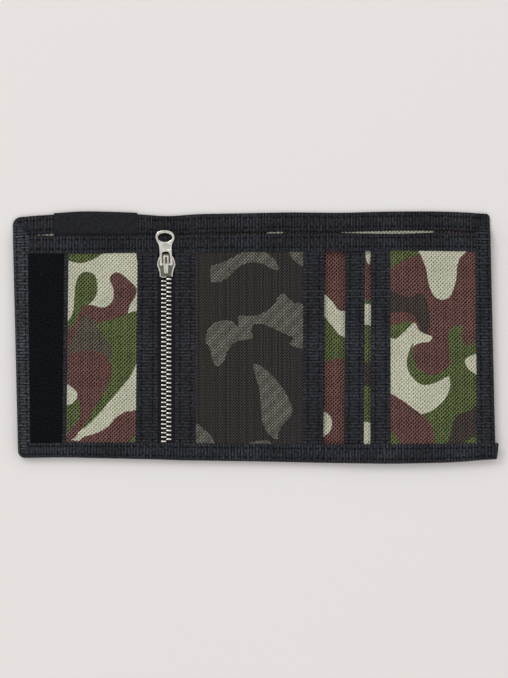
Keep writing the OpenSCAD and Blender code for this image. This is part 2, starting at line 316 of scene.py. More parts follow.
def tape(name, material, start, end, edge, inward, top, under, width, runs="x", folded=True,
         mitres=(0.0, 0.0), outer=False, thread=None, bumpy=0.12, rows=STITCH_ROWS):
    """A sewn tape and its stitches, as two pieces, or the tape alone where it has no rows of stitches.

    It runs from start to end along x or y. edge is its outer edge or fold, and inward (1 or -1) is the way
    it reaches across from there. mitres slant its two ends. top and under are heights, or functions of the
    place.
    """
    top, under = level(top), level(under)
    middle = (start + end) / 2
    height = float(top(np.array(middle)) - under(np.array(middle)))
    outline = folded_outline(width, height) if folded else flat_outline(width)
    across, share, offset, dips = outline.T
    stations = int(abs(end - start) / RIB * 4) + 2
    step = np.linspace(0, 1, stations)[:, None]
    first = start + mitres[0] * across
    last = end + mitres[1] * across
    along = first + (last - first) * step
    pull = stitch_dips(across, width) if len(rows) else 0 * across
    beat = 0.72 + 0.28 * np.cos(2 * math.pi * along / STITCH_PITCH)
    puff = (np.sin(along * 0.31 + edge) * np.sin(across * 0.9) + np.sin(along * 0.83 + across)) / 2
    dip = dips * (-STITCH_DIP * pull * beat + bumpy * puff * (share > 0.5))
    ribs = RIB_RELIEF / 2 * (np.cos(2 * math.pi * along / RIB) - 1) * np.sign(dips)
    z = under(along) + share * (top(along) - under(along)) + offset + dip + ribs
    frayed = 0.07 * np.sin(along * 2 * math.pi / STITCH_PITCH) * (across > width - 1)
    out = edge + inward * (across + frayed)
    flat_x, flat_y = (along, out + 0 * along) if runs == "x" else (out + 0 * along, along)
    x, y = lie(flat_x, flat_y, outer)
    points = np.stack([x, y, z], -1).reshape(-1, 3)
    steps_across = np.diff(across, prepend=across[0])
    steps_up = np.diff(share, prepend=share[0]) * height
    unrolled = np.cumsum(np.hypot(steps_across, steps_up))
    uv = np.stack([along, unrolled + 0 * along], -1).reshape(-1, 2)
    band = piece(name, points, tube_faces(stations, len(across)), uv, material)
    if not rows:
        return [band]
    places = []
    for row in rows:
        from_end = start + mitres[0] * row * width
        to_end = end + mitres[1] * row * width
        count = int((to_end - from_end) / STITCH_PITCH)
        spots = from_end + STITCH_PITCH * (np.arange(count) + 0.5)
        out = edge + inward * row * width
        for spot in spots:
            flat = (spot, out) if runs == "x" else (out, spot)
            x, y = lie(*flat, outer)
            places.append((float(x), float(y), float(top(np.array(spot))) - STITCH_DIP + STITCH_RISE))
    return [band, stitches(name + "_stitches", places, runs, thread)]


def stitches(name, places, runs, material):
    """Short thick threads lying half sunk in a tape, one at each place."""
    rings = [(-0.5, 0.0), (-0.42, 0.75), (-0.15, 1.0), (0.15, 1.0), (0.42, 0.75), (0.5, 0.0)]
    around = 6
    one = []
    for at, size in rings:
        for k in range(around):
            angle = 2 * math.pi * k / around
            radius = STITCH_RADIUS * size
            one.append((at * STITCH_LONG, radius * math.cos(angle), radius * math.sin(angle)))
    one = np.array(one)
    if runs == "y":
        one = one[:, [1, 0, 2]]
    faces = np.array(tube_faces(len(rings), around, capped=False))
    points, all_faces, uv = [], [], []
    for i, place in enumerate(places):
        slack = 0.12 * math.sin(i * 2.4)
        points.append(one + np.array(place) + ((0, slack, 0) if runs == "x" else (slack, 0, 0)))
        all_faces.append(faces + i * len(one))
        uv.append(one[:, [0, 1]] + i * STITCH_PITCH)
    return piece(name, np.concatenate(points), np.concatenate(all_faces), np.concatenate(uv), material)


# ---------------------------------------------------------------- printed cloth

COLOURS = ["beige", "green", "brown", "black", "navy", "olive"]


def smooth_outline(points, wobble=0.12):
    """Closed curve through a few points, slightly uneven like a print on thick threads."""
    p = np.array(points, float)
    before, after, beyond = np.roll(p, 1, 0), np.roll(p, -1, 0), np.roll(p, -2, 0)
    curve = []
    for t in np.linspace(0, 1, 6, endpoint=False):
        bend = 2 * p + (after - before) * t + (2 * before - 5 * p + 4 * after - beyond) * t**2
        curve.append((bend + (3 * p - before - 3 * after + beyond) * t**3) / 2)
    curve = np.stack(curve, 1).reshape(-1, 2)
    count = np.arange(len(curve))
    curve[:, 0] += wobble * np.sin(count * 2.1)
    curve[:, 1] += wobble * np.sin(count * 2.7 + 1)
    return curve


def inside(outline, spots):
    """Which spots lie inside a closed outline: a line from each crosses it an odd number of times."""
    ax, ay = outline.T
    bx, by = np.roll(outline, -1, 0).T
    x, y = spots[:, :1], spots[:, 1:]
    level_with = (ay > y) != (by > y)
    rise = np.where(by == ay, 1.0, by - ay)
    crosses = level_with & (x < (bx - ax) * (y - ay) / rise + ax)
    return crosses.sum(1) % 2 == 1


def cut_out(x_span, y_span, ground, shapes, bend):
    """Flat mesh of a rectangular cut with its printed shapes: points, faces, and each face's colour number.

    It is finer between the two ends of bend, where the cloth folds.
    """
    (x0, x1), (y0, y1) = x_span, y_span
    spacing = 2.4
    columns = np.linspace(x0, x1, max(3, int((x1 - x0) / spacing) + 1))
    fine = np.arange(min(bend), max(bend), 0.5)
    columns = np.concatenate([columns[(columns < min(bend)) | (columns > max(bend))], fine])
    columns = np.unique(np.concatenate([columns[(columns > x0 + 0.3) & (columns < x1 - 0.3)], [x0, x1]]))
    lines = np.linspace(y0, y1, int((y1 - y0) / spacing) + 1)
    edge = [(x, y0) for x in columns[:-1]] + [(x1, y) for y in lines[:-1]]
    edge += [(x, y1) for x in columns[:0:-1]] + [(x0, y) for y in lines[:0:-1]]
    loops = [np.array(edge)] + [smooth_outline(points) for colour, points in shapes]
    inner = np.array([(x, y) for x in columns[1:-1] for y in lines[1:-1]]).reshape(-1, 2)
    starts = np.cumsum([0] + [len(loop) for loop in loops])
    rounds = [list(range(starts[i], starts[i + 1])) for i in range(len(loops))]
    flat = np.concatenate(loops + [inner])
    made = delaunay_2d_cdt([tuple(p) for p in flat], [], rounds, 0, 1e-4)
    spots = np.array([tuple(v) for v in made[0]])
    middles = np.array([spots[list(face)].mean(0) for face in made[2]])
    in_cut = (middles[:, 0] > x0) & (middles[:, 0] < x1) & (middles[:, 1] > y0) & (middles[:, 1] < y1)
    codes = np.full(len(middles), COLOURS.index(ground))
    for loop, (colour, points) in zip(loops[1:], shapes):
        codes[inside(loop, middles)] = COLOURS.index(colour)
    kept = [list(face) for face, stays in zip(made[2], in_cut) if stays]
    used = sorted({v for face in kept for v in face})
    renumber = {v: i for i, v in enumerate(used)}
    return spots[used], [[renumber[v] for v in face] for face in kept], codes[in_cut].tolist()


def printed_cloth(name, material, x_span, y_span, top, under, ground, shapes, rise=0.0, seams=None,
                  outer=False, bend=(0.0, 0.0)):
    """A cut of printed cloth as a thin closed sheet. Shapes are printed over the ground in order.

    Between its seams it domes up by rise, with a slight ripple.
    """
    spots, kept, prints = cut_out(x_span, y_span, ground, shapes, bend)
    count = len(spots)
    sides = dict.fromkeys((a, b) for face in kept for a, b in zip(face, face[1:] + face[:1]))
    rim = [(a, b) for a, b in sides if (b, a) not in sides]
    (sx0, sx1), (sy0, sy1) = seams or (x_span, y_span)
    u = np.clip(2 * (spots[:, 0] - sx0) / (sx1 - sx0) - 1, -1, 1)
    v = np.clip(2 * (spots[:, 1] - sy0) / (sy1 - sy0) - 1, -1, 1)
    dome = (1 - u**6) * (1 - v**12)
    swell = np.sin(spots[:, 0] * 0.23 + 1.3 * np.sin(spots[:, 1] * 0.11))
    ripple = 0.10 * swell * np.sin(spots[:, 1] * 0.17)
    lift = dome * (rise + (ripple if rise else 0))
    x, y = lie(spots[:, 0], spots[:, 1], outer)
    tops = level(top)(spots[:, 0]) + lift
    unders = level(under)(spots[:, 0]) + lift
    points = np.concatenate([np.stack([x, y, tops], 1), np.stack([x, y, unders], 1)])
    faces = kept + [[v + count for v in face[::-1]] for face in kept]
    faces += [[a, a + count, b + count, b] for a, b in rim]
    codes = prints + prints + [COLOURS.index(ground)] * len(rim)
    marks = [(code + 0.5) / len(COLOURS) for code in codes]
    return piece(name, points, faces, np.concatenate([spots, spots]), material, marks)


def net(name, material, x_span, y_span, z):
    """Knotted net: two sets of flat threads on the slant that pass over and under each other."""
    thick, swing = 0.1, 0.06
    (x0, x1), (y0, y1) = x_span, y_span
    stride = NET_PITCH / math.sqrt(2)
    points, faces, uv = [], [], []
    for lean, wide in ((1, 0.24), (-1, 0.19)):
        offsets = np.arange(y0 - (x1 if lean > 0 else -x0), y1 - (x0 if lean > 0 else -x1), 2 * stride)
        for number, offset in enumerate(offsets):
            ends = sorted([(y0 - offset) * lean, (y1 - offset) * lean])
            begin, stop = max(x0, ends[0]), min(x1, ends[1])
            if stop - begin < 2 * stride:
                continue
            x = np.arange(math.ceil(begin / stride), math.floor(stop / stride) + 1) * stride
            y = lean * x + offset
            over = 0.04 * lean + swing * lean * np.where(np.round(x / stride) % 2 == 0, 1, -1)
            uneven = 1 + 0.16 * np.sin(x * 3.1 + number)
            base = sum(len(p) for p in points)
            for across, up in ((wide, 0), (0, thick), (-wide, 0), (0, -thick)):
                side = across * uneven / math.sqrt(2)
                flat_x, flat_y = lie(np.clip(x - side * lean, x0, x1), np.clip(y + side, y0, y1))
                points.append(np.stack([flat_x, flat_y, z + over + up], 1))
                uv.append(np.stack([x * math.sqrt(2), np.full(len(x), across)], 1))
            n = len(x)
            for k in range(4):
                a, b = base + k * n, base + (k + 1) % 4 * n
                faces += [(a + i, b + i, b + i + 1, a + i + 1) for i in range(n - 1)]
            faces += [(base, base + n, base + 2 * n, base + 3 * n)]
            faces += [(base + 4 * n - 1, base + 3 * n - 1, base + 2 * n - 1, base + n - 1)]
    return piece(name, np.concatenate(points), faces, np.concatenate(uv), material)


def pile(name, material, x_span, y_span, top, under, seed):
    """Loop side of a hook-and-loop strip: a dense uneven pile with a thin woven edge."""
    chance = np.random.default_rng(seed)
    (x0, x1), (y0, y1) = x_span, y_span
    columns = np.arange(x0, x1 + 0.2, 0.45)
    lines = np.arange(y0, y1 + 0.2, 0.45)
    x, y = np.meshgrid(columns, lines)
    fuzz = chance.normal(0, 0.10, x.shape)
    clumps = 0.12 * np.sin(x * 1.7 + 2 * np.sin(y * 0.9)) * np.sin(y * 1.3)
    edge = np.minimum.reduce([x - x0, x1 - x, y - y0, y1 - y])
    z = top - 0.35 * np.exp(-edge / 0.5) + (fuzz + clumps) * np.clip(edge, 0, 1)
    flat_x, flat_y = lie(x, y)
    points = np.concatenate([
        np.stack([flat_x, flat_y, z], -1).reshape(-1, 3),
        np.stack([flat_x, flat_y, np.full(x.shape, under)], -1).reshape(-1, 3),
    ])
    rows, across = x.shape
    count = rows * across
    place = np.arange(count).reshape(rows, across)
    a, b, c, d = place[:-1, :-1], place[:-1, 1:], place[1:, 1:], place[1:, :-1]
    tops = np.stack([a, b, c, d], -1).reshape(-1, 4)
    faces = tops.tolist() + (tops[:, ::-1] + count).tolist()
    rim = list(place[0]) + list(place[1:, -1]) + list(place[-1, -2::-1]) + list(place[-2:0:-1, 0])
    for p, q in zip(rim, rim[1:] + rim[:1]):
        faces.append((p, p + count, q + count, q))
    uv = np.stack([x, y], -1).reshape(-1, 2)
    return piece(name, points, faces, np.concatenate([uv, uv]), material)


def hooks(name, material, x_span, y_span, base, tip):
    """Hook side of the strip: a woven base with rows of small bent hooks that point down."""
    (x0, x1), (y0, y1) = x_span, y_span
    points, faces, uv = [], [], []
    corners = [(x0, y0), (x1, y0), (x1, y1), (x0, y1)]
    for z in (base, base - HOOK_BASE):
        for corner in corners:
            x, y = lie(*corner)
            points.append((float(x), float(y), z))
            uv.append(corner)
    faces += [(0, 1, 2, 3), (7, 6, 5, 4), (0, 4, 5, 1), (1, 5, 6, 2), (2, 6, 7, 3), (3, 7, 4, 0)]
    root = base - HOOK_BASE
    reach = root - tip
    route = [(0.0, 0.0), (0.0, 0.55), (0.12, 0.9), (0.35, 1.0), (0.5, 0.75)]
    thick = 0.11
    ring = ((thick, thick), (thick, -thick), (-thick, -thick), (-thick, thick))
    for row, y_at in enumerate(np.arange(y0 + 1.2, y1 - 1, HOOK_ROWS)):
        way = 1 if row % 2 else -1
        for x_at in np.arange(x0 + HOOK_STEP + 0.4 * (row % 2), x1 - 1.4, HOOK_STEP):
            x, y = lie(x_at, y_at)
            first = len(points)
            for out, down in route:
                for across, along in ring:
                    points.append((float(x) + across, float(y) + way * out + along, root - reach * down))
                    uv.append((x_at + across, y_at + along))
            for i in range(len(route) - 1):
                near, far = first + 4 * i, first + 4 * i + 4
                for k in range(4):
                    j = (k + 1) % 4
                    faces.append((near + k, near + j, far + j, far + k))
            end = first + 4 * (len(route) - 1)
            faces.append((end, end + 1, end + 2, end + 3))
    return piece(name, points, faces, uv, material)


# ---------------------------------------------------------------- materials


def shade(hex_colour):
    """Linear colour from an sRGB hex value."""
    parts = [int(hex_colour[i:i + 2], 16) / 255 for i in (1, 3, 5)]
    return [c / 12.92 if c <= 0.04045 else ((c + 0.055) / 1.055) ** 2.4 for c in parts]


def add(material, kind, inputs=(), **settings):
    """Adds a node.

    Each input is a number, a colour, an output, or another node, which stands for its first output.
    """
    tree = material.node_tree
    node = tree.nodes.new(kind)
    for name, value in settings.items():
        setattr(node, name, value)
    for name, value in dict(inputs).items():
        if isinstance(value, bpy.types.Node):
            value = value.outputs[0]
        if isinstance(value, bpy.types.NodeSocket):
            tree.links.new(value, node.inputs[name])
        else:
            node.inputs[name].default_value = value
    return node


def surface(name, roughness, ior=1.5, metallic=0.0, gleam=0.5):
    """A new material, and its shader. gleam below 0.5 dulls what threads hide from each other."""
    material = bpy.data.materials.new(name)
    material.use_nodes = True
    shader = material.node_tree.nodes["Principled BSDF"]
    shader.inputs["Roughness"].default_value = roughness
    shader.inputs["Metallic"].default_value = metallic
    shader.inputs["Specular IOR Level"].default_value = gleam
    if not metallic:
        shader.inputs["IOR"].default_value = ior
    return material, shader


def connect(material, shader, colour=None, height=None, depth=0.0, roughness=None):
    """Links colour, roughness and relief to the shader. depth is the relief's height in millimetres."""
    if colour is not None:
        material.node_tree.links.new(colour.outputs[0], shader.inputs["Base Color"])
    if roughness is not None:
        material.node_tree.links.new(roughness.outputs[0], shader.inputs["Roughness"])
    if height is not None:
        bump = add(material, "ShaderNodeBump", {"Height": height, "Distance": depth * MM})
        material.node_tree.links.new(bump.outputs[0], shader.inputs["Normal"])


def waves(material, pitch, along=1.0, across=0.0, phase=0.0):
    """-1 to 1 and back once every pitch millimetres, in the direction (along, across) of the cloth."""
    place = add(material, "ShaderNodeUVMap", uv_map="cloth")
    turn = 2 * math.pi / pitch
    way = add(material, "ShaderNodeVectorMath", {0: place, 1: (along * turn, across * turn, 0)},
              operation="DOT_PRODUCT")
    shifted = add(material, "ShaderNodeMath", {0: way.outputs["Value"], 1: phase}, operation="ADD")
    return add(material, "ShaderNodeMath", {0: shifted}, operation="COSINE")


def mottle(material, size, stretch=(1, 1), detail=2.0):
    """Uneven -1 to 1 pattern, with patches about size millimetres across."""
    cloth = add(material, "ShaderNodeUVMap", uv_map="cloth")
    place = add(material, "ShaderNodeMapping", {0: cloth, "Scale": (stretch[0] / size, stretch[1] / size, 1)})
    noise = add(material, "ShaderNodeTexNoise", {"Vector": place, "Scale": 1.0, "Detail": detail},
                noise_dimensions="2D")
    return add(material, "ShaderNodeMapRange", {0: noise, 1: 0.3, 2: 0.7, 3: -1.0, 4: 1.0})


def lit(material, colour, pattern, dark, bright):
    """Colour made darker where the pattern is -1 and brighter where it is 1."""
    light = add(material, "ShaderNodeMapRange", {0: pattern, 1: -1.0, 2: 1.0, 3: dark, 4: bright})
    return add(material, "ShaderNodeVectorMath", {0: colour, 1: light}, operation="MULTIPLY")


def printed_polyester(name, colours):
    """Coarse plain-woven polyester, printed: painted highlights on each thread crown, and painted shade in
    the pinhole beside it.

    The threads are drawn about twice as thick as real ones, because real ones are too fine to show.
    """
    material, shader = surface(name, 0.84, ior=1.55, gleam=0.17)
    code = add(material, "ShaderNodeAttribute", attribute_name="print")
    ramp = add(material, "ShaderNodeValToRGB", {0: code.outputs["Fac"]})
    ramp.color_ramp.interpolation = "CONSTANT"
    for i in range(len(colours) - 2):
        ramp.color_ramp.elements.new(0.5)
    for i, (colour, contrast) in enumerate(colours):
        ramp.color_ramp.elements[i].position = i / len(colours)
        ramp.color_ramp.elements[i].color = shade(colour) + [contrast]
    up, across = waves(material, 2 * THREAD), waves(material, 2 * THREAD, 0, 1)
    crossing = add(material, "ShaderNodeMath", {0: up, 1: across}, operation="MULTIPLY")
    threads = 0.0
    for pattern, share in (
        (crossing, 1.0),
        (waves(material, WARP), 0.42),
        (waves(material, WEFT, 0, 1), 0.25),
        (waves(material, 2 * THREAD, 1, -1), 0.35),
        (mottle(material, 1.0, detail=3.0), 0.5),
    ):
        threads = add(material, "ShaderNodeMath", {0: pattern, 1: share, 2: threads},
                      operation="MULTIPLY_ADD")
    # The weave's painted highlights and shade, with some random thread tone mixed in, scaled for each printed
    # colour.
    seen = add(material, "ShaderNodeMath", {0: threads, 1: ramp.outputs["Alpha"]}, operation="MULTIPLY")
    colour = lit(material, ramp, seen, 0.0, 2.16)
    connect(material, shader, lit(material, colour, mottle(material, 14.0), 0.93, 1.07), threads, 0.09)
    return material


def ribbed_nylon(name, colour):
    """Grosgrain nylon tape: ribs across it, whose highlights and shade are painted into the colour in
    patches, and a soft grey gleam.
    """
    material, shader = surface(name, 0.6, ior=1.53, gleam=0.09)
    patches = add(material, "ShaderNodeMapRange",
                  {0: mottle(material, 1.9, (1.0, 0.3)), 1: -1.0, 2: 1.0, 3: 0.0, 4: 1.3})
    ribs = add(material, "ShaderNodeMath", {0: waves(material, RIB), 1: patches}, operation="MULTIPLY")
    speckle = lit(material, shade(colour), mottle(material, 0.8, (1.0, 0.5), 3.0), 0.35, 1.65)
    worn = lit(material, speckle, mottle(material, 20.0), 0.75, 1.25)
    # The ribs' painted highlights and shade.
    connect(material, shader, lit(material, worn, ribs, 0.15, 1.85), ribs, 0.08)
    return material


def woven_zip_tape(name, colour):
    """Twill polyester zip tape: darker and smoother than the ribbed tape, with a fine slanting weave."""
    material, shader = surface(name, 0.7, ior=1.55, gleam=0.12)
    slant = waves(material, 1.3, 0.8, 0.6)
    connect(material, shader, lit(material, shade(colour), slant, 0.6, 1.4), slant, 0.05)
    return material


def net_nylon(name, colour):
    """Flat nylon net thread: dull dark brown-grey, a little lighter where it is worn."""
    material, shader = surface(name, 0.6, ior=1.53, gleam=0.15)
    worn = mottle(material, 1.5, detail=3.0)
    connect(material, shader, lit(material, shade(colour), worn, 0.45, 1.6), worn, 0.02)
    return material


def bonded_thread(name, colour):
    """Bonded nylon sewing thread: two plies whose twist is painted as slanting glints."""
    material, shader = surface(name, 0.5, ior=1.53, gleam=0.12)
    twist = waves(material, 0.7, 0.7, 0.7)
    # Painted glints and shade along the twist.
    connect(material, shader, lit(material, shade(colour), twist, 0.6, 1.4), twist, 0.05)
    return material


def brushed_loops(name, colour):
    """Nylon loop pile: deep black, partly the nylon's own colour and partly painted shade for the light the
    loops trap, with scattered faint painted glints.
    """
    material, shader = surface(name, 0.9, ior=1.53, gleam=0.06)
    fibres = mottle(material, 0.5, (1.0, 0.6), 4.0)
    # Painted glints and shade of the loops.
    connect(material, shader, lit(material, shade(colour), fibres, 0.1, 1.9), fibres, 0.15)
    return material


def moulded_hooks(name, colour):
    """Nylon hook tape: cut monofilament hooks, harder and shinier than the pile."""
    material, shader = surface(name, 0.38, ior=1.53, gleam=0.3)
    uneven = mottle(material, 0.8)
    connect(material, shader, lit(material, shade(colour), uneven, 0.7, 1.4), uneven, 0.03)
    return material


def satin(name, colour):
    """Woven polyester satin label: smooth, with very fine lines along it and a low blue-black gleam."""
    material, shader = surface(name, 0.45, ior=1.55, gleam=0.1)
    threads = mottle(material, 0.7, (0.4, 1.0), 3.0)
    connect(material, shader, lit(material, shade(colour), threads, 0.45, 1.55), threads, 0.02)
    return material


def nickel_plate(name, colour, roughness):
    """Die-cast zinc, tumbled and nickel-plated: bright warm silver, faintly rippled, with rubbed patches."""
    material, shader = surface(name, roughness, metallic=1.0)
    spot = add(material, "ShaderNodeTexCoord")
    noise = add(material, "ShaderNodeTexNoise",
                {"Vector": spot.outputs["Object"], "Scale": 0.5 / MM, "Detail": 3.0})
    cast = add(material, "ShaderNodeMapRange", {0: noise, 1: 0.3, 2: 0.7, 3: -1.0, 4: 1.0})
    rubbed = lit(material, shade(colour), cast, 0.75, 1.1)
    dull = add(material, "ShaderNodeMapRange",
               {0: cast, 1: -1.0, 2: 1.0, 3: roughness * 0.8, 4: roughness * 1.4})
    connect(material, shader, rubbed, cast, 0.015, dull)
    return material


def matt_paper(name, colour):
    """Matt paper backdrop: pale warm grey, barely uneven."""
    material, shader = surface(name, 0.9, ior=1.5)
    spot = add(material, "ShaderNodeTexCoord")
    fibres = add(material, "ShaderNodeTexNoise", {"Vector": spot.outputs["Object"], "Scale": 6.0})
    connect(material, shader, lit(material, shade(colour), fibres, 0.98, 1.0))
    return material


# Each printed colour with how strongly the weave's painted highlights and shade show in it. The order is that
# of COLOURS.
CAMO = printed_polyester("woven printed polyester", [
    ("#A8A895", 0.42), ("#47502F", 1.25), ("#533935", 1.25), ("#352E2A", 1.1), ("#201E22", 1.0),
    ("#474138", 1.25),
])
# Darker copies of the print colours for the cloth under the net: painted shade of the net over it.
CAMO_SHADED_BY_NET = printed_polyester("printed polyester, painted shade under net", [
    ("#6E6D63", 0.5), ("#2E3424", 1.0), ("#332524", 1.0), ("#050505", 1.0), ("#0A0A13", 1.0),
    ("#2E2A24", 1.0),
])
RIBBED = ribbed_nylon("ribbed nylon binding tape", "#24262B")
# A lighter copy of the tape, used for the left binding.
RIBBED_GREY = ribbed_nylon("ribbed nylon binding tape, lighter", "#303438")
RIBBED_DARK = ribbed_nylon("ribbed nylon edge tape", "#222328")
ZIP_CLOTH = woven_zip_tape("twill zip tape", "#141318")
NET = net_nylon("nylon net", "#35322E")
SEWING = bonded_thread("bonded nylon thread", "#09090B")
LOOPS = brushed_loops("nylon loop pile", "#101216")
HOOKS = moulded_hooks("nylon hooks", "#1B1C1F")
LABEL = satin("polyester satin label", "#1A1B1F")
NICKEL = nickel_plate("nickel-plated zinc", "#F4F0E6", 0.16)
# The slider's plates: the same nickel painted much darker than its rims, as painted shade.
NICKEL_PAINTED_SHADE = nickel_plate("nickel-plated zinc, painted shade", "#7C7A72", 0.24)
NICKEL_TEETH = nickel_plate("nickel-plated teeth", "#F0EDE4", 0.16)
PAPER = matt_paper("matt paper backdrop", "#E2DEDC")

# ---------------------------------------------------------------- the print, as it falls on each cut

LEFT_PRINT = [
    # cap under the top tape
    ("green", [
        (-95.5, 44), (-77.5, 44), (-80, 41), (-84, 39), (-88, 38), (-92, 38.5), (-95.5, 40),
    ]),
    # finger
    ("green", [
        (-85.5, 33.5), (-81.5, 32), (-80, 28), (-80, 23), (-81.5, 19.5), (-84.5, 16.5), (-88, 13.5),
        (-89.5, 9.5), (-92, 6), (-95.5, 1.5), (-95.5, 7), (-93.5, 10), (-92, 14), (-91.5, 20.5),
        (-91, 27), (-89, 32),
    ]),
    # horn and band
    ("brown", [
        (-70.5, 33), (-67.5, 32), (-64, 29), (-60.5, 25.5), (-60, 22.5), (-61.5, 19), (-63.5, 15.5),
        (-65.5, 7), (-70.5, 5), (-76.5, 3), (-81.5, 2), (-85.5, -1), (-90.5, -6), (-95.5, -11),
        (-95.5, 3), (-92, 6), (-89.5, 10.5), (-88, 14.5), (-85.5, 16.5), (-82, 16.5), (-79, 15.5),
        (-75.5, 15.5), (-72.5, 18), (-71.5, 21.5), (-72, 25.5), (-73.5, 29), (-73, 31.5),
    ]),
    # broad sweep
    ("green", [
        (-81, 6), (-74.5, 8.5), (-67.5, 10.5), (-58.5, 11.5), (-58.5, -15), (-63, -20.5), (-68, -26.5),
        (-74, -33.5), (-79.5, -40.5), (-84.5, -45), (-90, -48.5), (-85, -40.5), (-80, -32), (-77, -24),
        (-75.5, -15.5), (-76, -7), (-80, -3), (-83, 1),
    ]),
    # patch
    ("olive", [
        (-87, 11.5), (-82, 9), (-79.5, 5), (-76.5, 1), (-73.5, -3.5), (-72, -8.5), (-75, -11),
        (-81.5, -9), (-86, -9), (-90.5, -9), (-95.5, -10.5), (-93, -2.5), (-90.5, 2.5), (-88.5, 7.5),
    ]),
    # lobe
    ("brown", [
        (-95.5, -10), (-90.5, -7.5), (-85.5, -6.5), (-79.5, -7), (-75.5, -9), (-73, -13), (-72, -17),
        (-73.5, -22.5), (-75.5, -27.5), (-78.5, -32.5), (-81.5, -37.5), (-84.5, -42.5), (-88, -47),
        (-90, -50.5), (-92.5, -52), (-95.5, -53), (-94, -48), (-90.5, -44), (-88.5, -39), (-88.5, -34.5),
        (-89.5, -30.5), (-92, -27), (-95.5, -24),
    ]),
    # bit at the left edge
    ("beige", [
        (-95.5, -24.5), (-92, -25.5), (-89.5, -28.5), (-91, -32), (-93.5, -35), (-95.5, -36.5),
    ]),
    # bit at the left edge
    ("green", [
        (-95.5, -36), (-92, -33.5), (-89.5, -31), (-88, -35.5), (-88, -40.5), (-91, -44.5), (-95.5, -49),
    ]),
    # diagonal
    ("beige", [
        (-58.5, -13.5), (-63, -20.5), (-68, -26.5), (-74.5, -34.5), (-81.5, -42), (-86, -46.5),
        (-87.5, -49), (-85.5, -50), (-81.5, -49), (-74.5, -46), (-70, -42), (-65.5, -38.5),
        (-58.5, -36.5),
    ]),
    # foot
    ("brown", [
        (-95.5, -51.5), (-92, -52), (-88.5, -52.5), (-86, -50.5), (-79.5, -48.5), (-74, -45.5),
        (-70, -41), (-65.5, -38), (-62.5, -37.5), (-58.5, -38.5), (-58.5, -55), (-95.5, -55),
    ]),
    # corner
    ("green", [
        (-62, -52), (-58.5, -49), (-58.5, -55), (-62.5, -55),
    ]),
    # sliver
    ("brown", [
        (-60.5, 44.5), (-58, 44.5), (-58, 36), (-59.5, 37.5),
    ]),
]

WINDOW_PRINT = [
    # band
    ("beige", [
        (-22, 28.5), (-22, 35), (-19.5, 36.5), (-14, 38.5), (-9, 41), (-4, 43.5), (2.5, 44), (7.5, 41.5),
        (11, 38), (12.5, 34), (9.5, 34), (6, 36), (1, 37.5), (-4, 37), (-9, 34.5), (-12, 31.5),
        (-15.5, 28.5), (-19.5, 27.5),
    ]),
    # broad arm
    ("beige", [
        (-7.5, 10.5), (-1.5, 10.5), (5, 12.5), (10, 16.5), (14, 22), (17.5, 19.5), (21, 17), (25.5, 18),
        (25.5, -6.5), (21.5, -5), (18, -3.5), (20, -0.5), (14, 2.5), (6, 6), (0.5, 6.5), (-1.5, 3.5),
        (-0.5, 0), (-5, -1.5), (-8.5, -1), (-8, 4),
    ]),
    # lobe
    ("beige", [
        (-24.5, -2.5), (-24, 2.5), (-21, 6.5), (-15.5, 8.5), (-11.5, 8), (-9, 6), (-7.5, 2.5), (-8, -1),
        (-11.5, -4), (-14, -8), (-15.5, -12.5), (-18, -14.5), (-20.5, -13.5), (-21.5, -9.5),
        (-22.5, -5.5),
    ]),
    # leaf
    ("beige", [
        (0, -13.5), (4.5, -15), (9, -19), (13.5, -24), (17.5, -30.5), (19.5, -36), (18, -40.5),
        (15, -43.5), (12.5, -47.5), (12, -51), (8.5, -49.5), (5.5, -45.5), (4, -40.5), (3.5, -33.5),
        (2.5, -25.5), (0.5, -18.5),
    ]),
    # corner
    ("beige", [
        (-30.5, -43.5), (-25.5, -46.5), (-21.5, -50.5), (-20.5, -55), (-30.5, -55),
    ]),
    # top corner
    ("beige", [
        (17, 44.5), (26.5, 44.5), (26.5, 35.5), (21.5, 37.5), (18.5, 41),
    ]),
    # sliver
    ("beige", [
        (-2.5, -53), (2.5, -52), (8, -52), (9, -55), (-2.5, -55),
    ]),
    # stripe
    ("black", [
        (16.5, 27), (19, 27), (21.5, 22.5), (25.5, 20), (25.5, 16.5), (20.5, 18.5), (17.5, 23),
    ]),
    # low patch
    ("navy", [
        (13, -47), (16.5, -41.5), (21.5, -38.5), (26.5, -39.5), (26.5, -55), (13, -55),
    ]),
    # mid patch
    ("navy", [
        (16.5, -5.5), (21, -5), (26.5, -7.5), (26.5, -17), (20, -15.5), (17, -10.5),
    ]),
]

LINING_STRIP_PRINT = [
    # band
    ("beige", [
        (34, 21.5), (39, 18.5), (43, 13.5), (48.5, 11.5), (48.5, -2), (43, 1.5), (39, 6.5), (34, 10),
    ]),
    # band
    ("green", [
        (34, 10), (39, 6.5), (43, 1.5), (48.5, -2), (48.5, -11), (42, -10.5), (34, -11),
    ]),
    # half disc
    ("beige", [
        (33, -37), (37.5, -38), (39.5, -40.5), (40, -43.5), (38.5, -47.5), (33, -50),
    ]),
]

REAR_PRINT = [
    # spot
    ("beige", [
        (56.5, 44.5), (59, 43.5), (59, 39.5), (58.5, 36), (57, 38), (56.5, 41),
    ]),
    # first band
    ("green", [
        (53.5, 18.5), (62, 18), (62, 14.5), (53.5, 15.5),
    ]),
    # band
    ("beige", [
        (53.5, 15.5), (62, 14.5), (62, 3), (53.5, 4.5),
    ]),
    # second band
    ("green", [
        (53.5, 4.5), (62, 3), (62, -15), (53.5, -13.5),
    ]),
    # band
    ("black", [
        (53.5, -13.5), (62, -15), (62, -27), (53.5, -26),
    ]),
    # third band
    ("green", [
        (53.5, -26), (62, -27.5), (62, -44), (53.5, -43),
    ]),
    # foot
    ("beige", [
        (53.5, -43.5), (62, -44.5), (62, -56.5), (53.5, -56.5),
    ]),
]

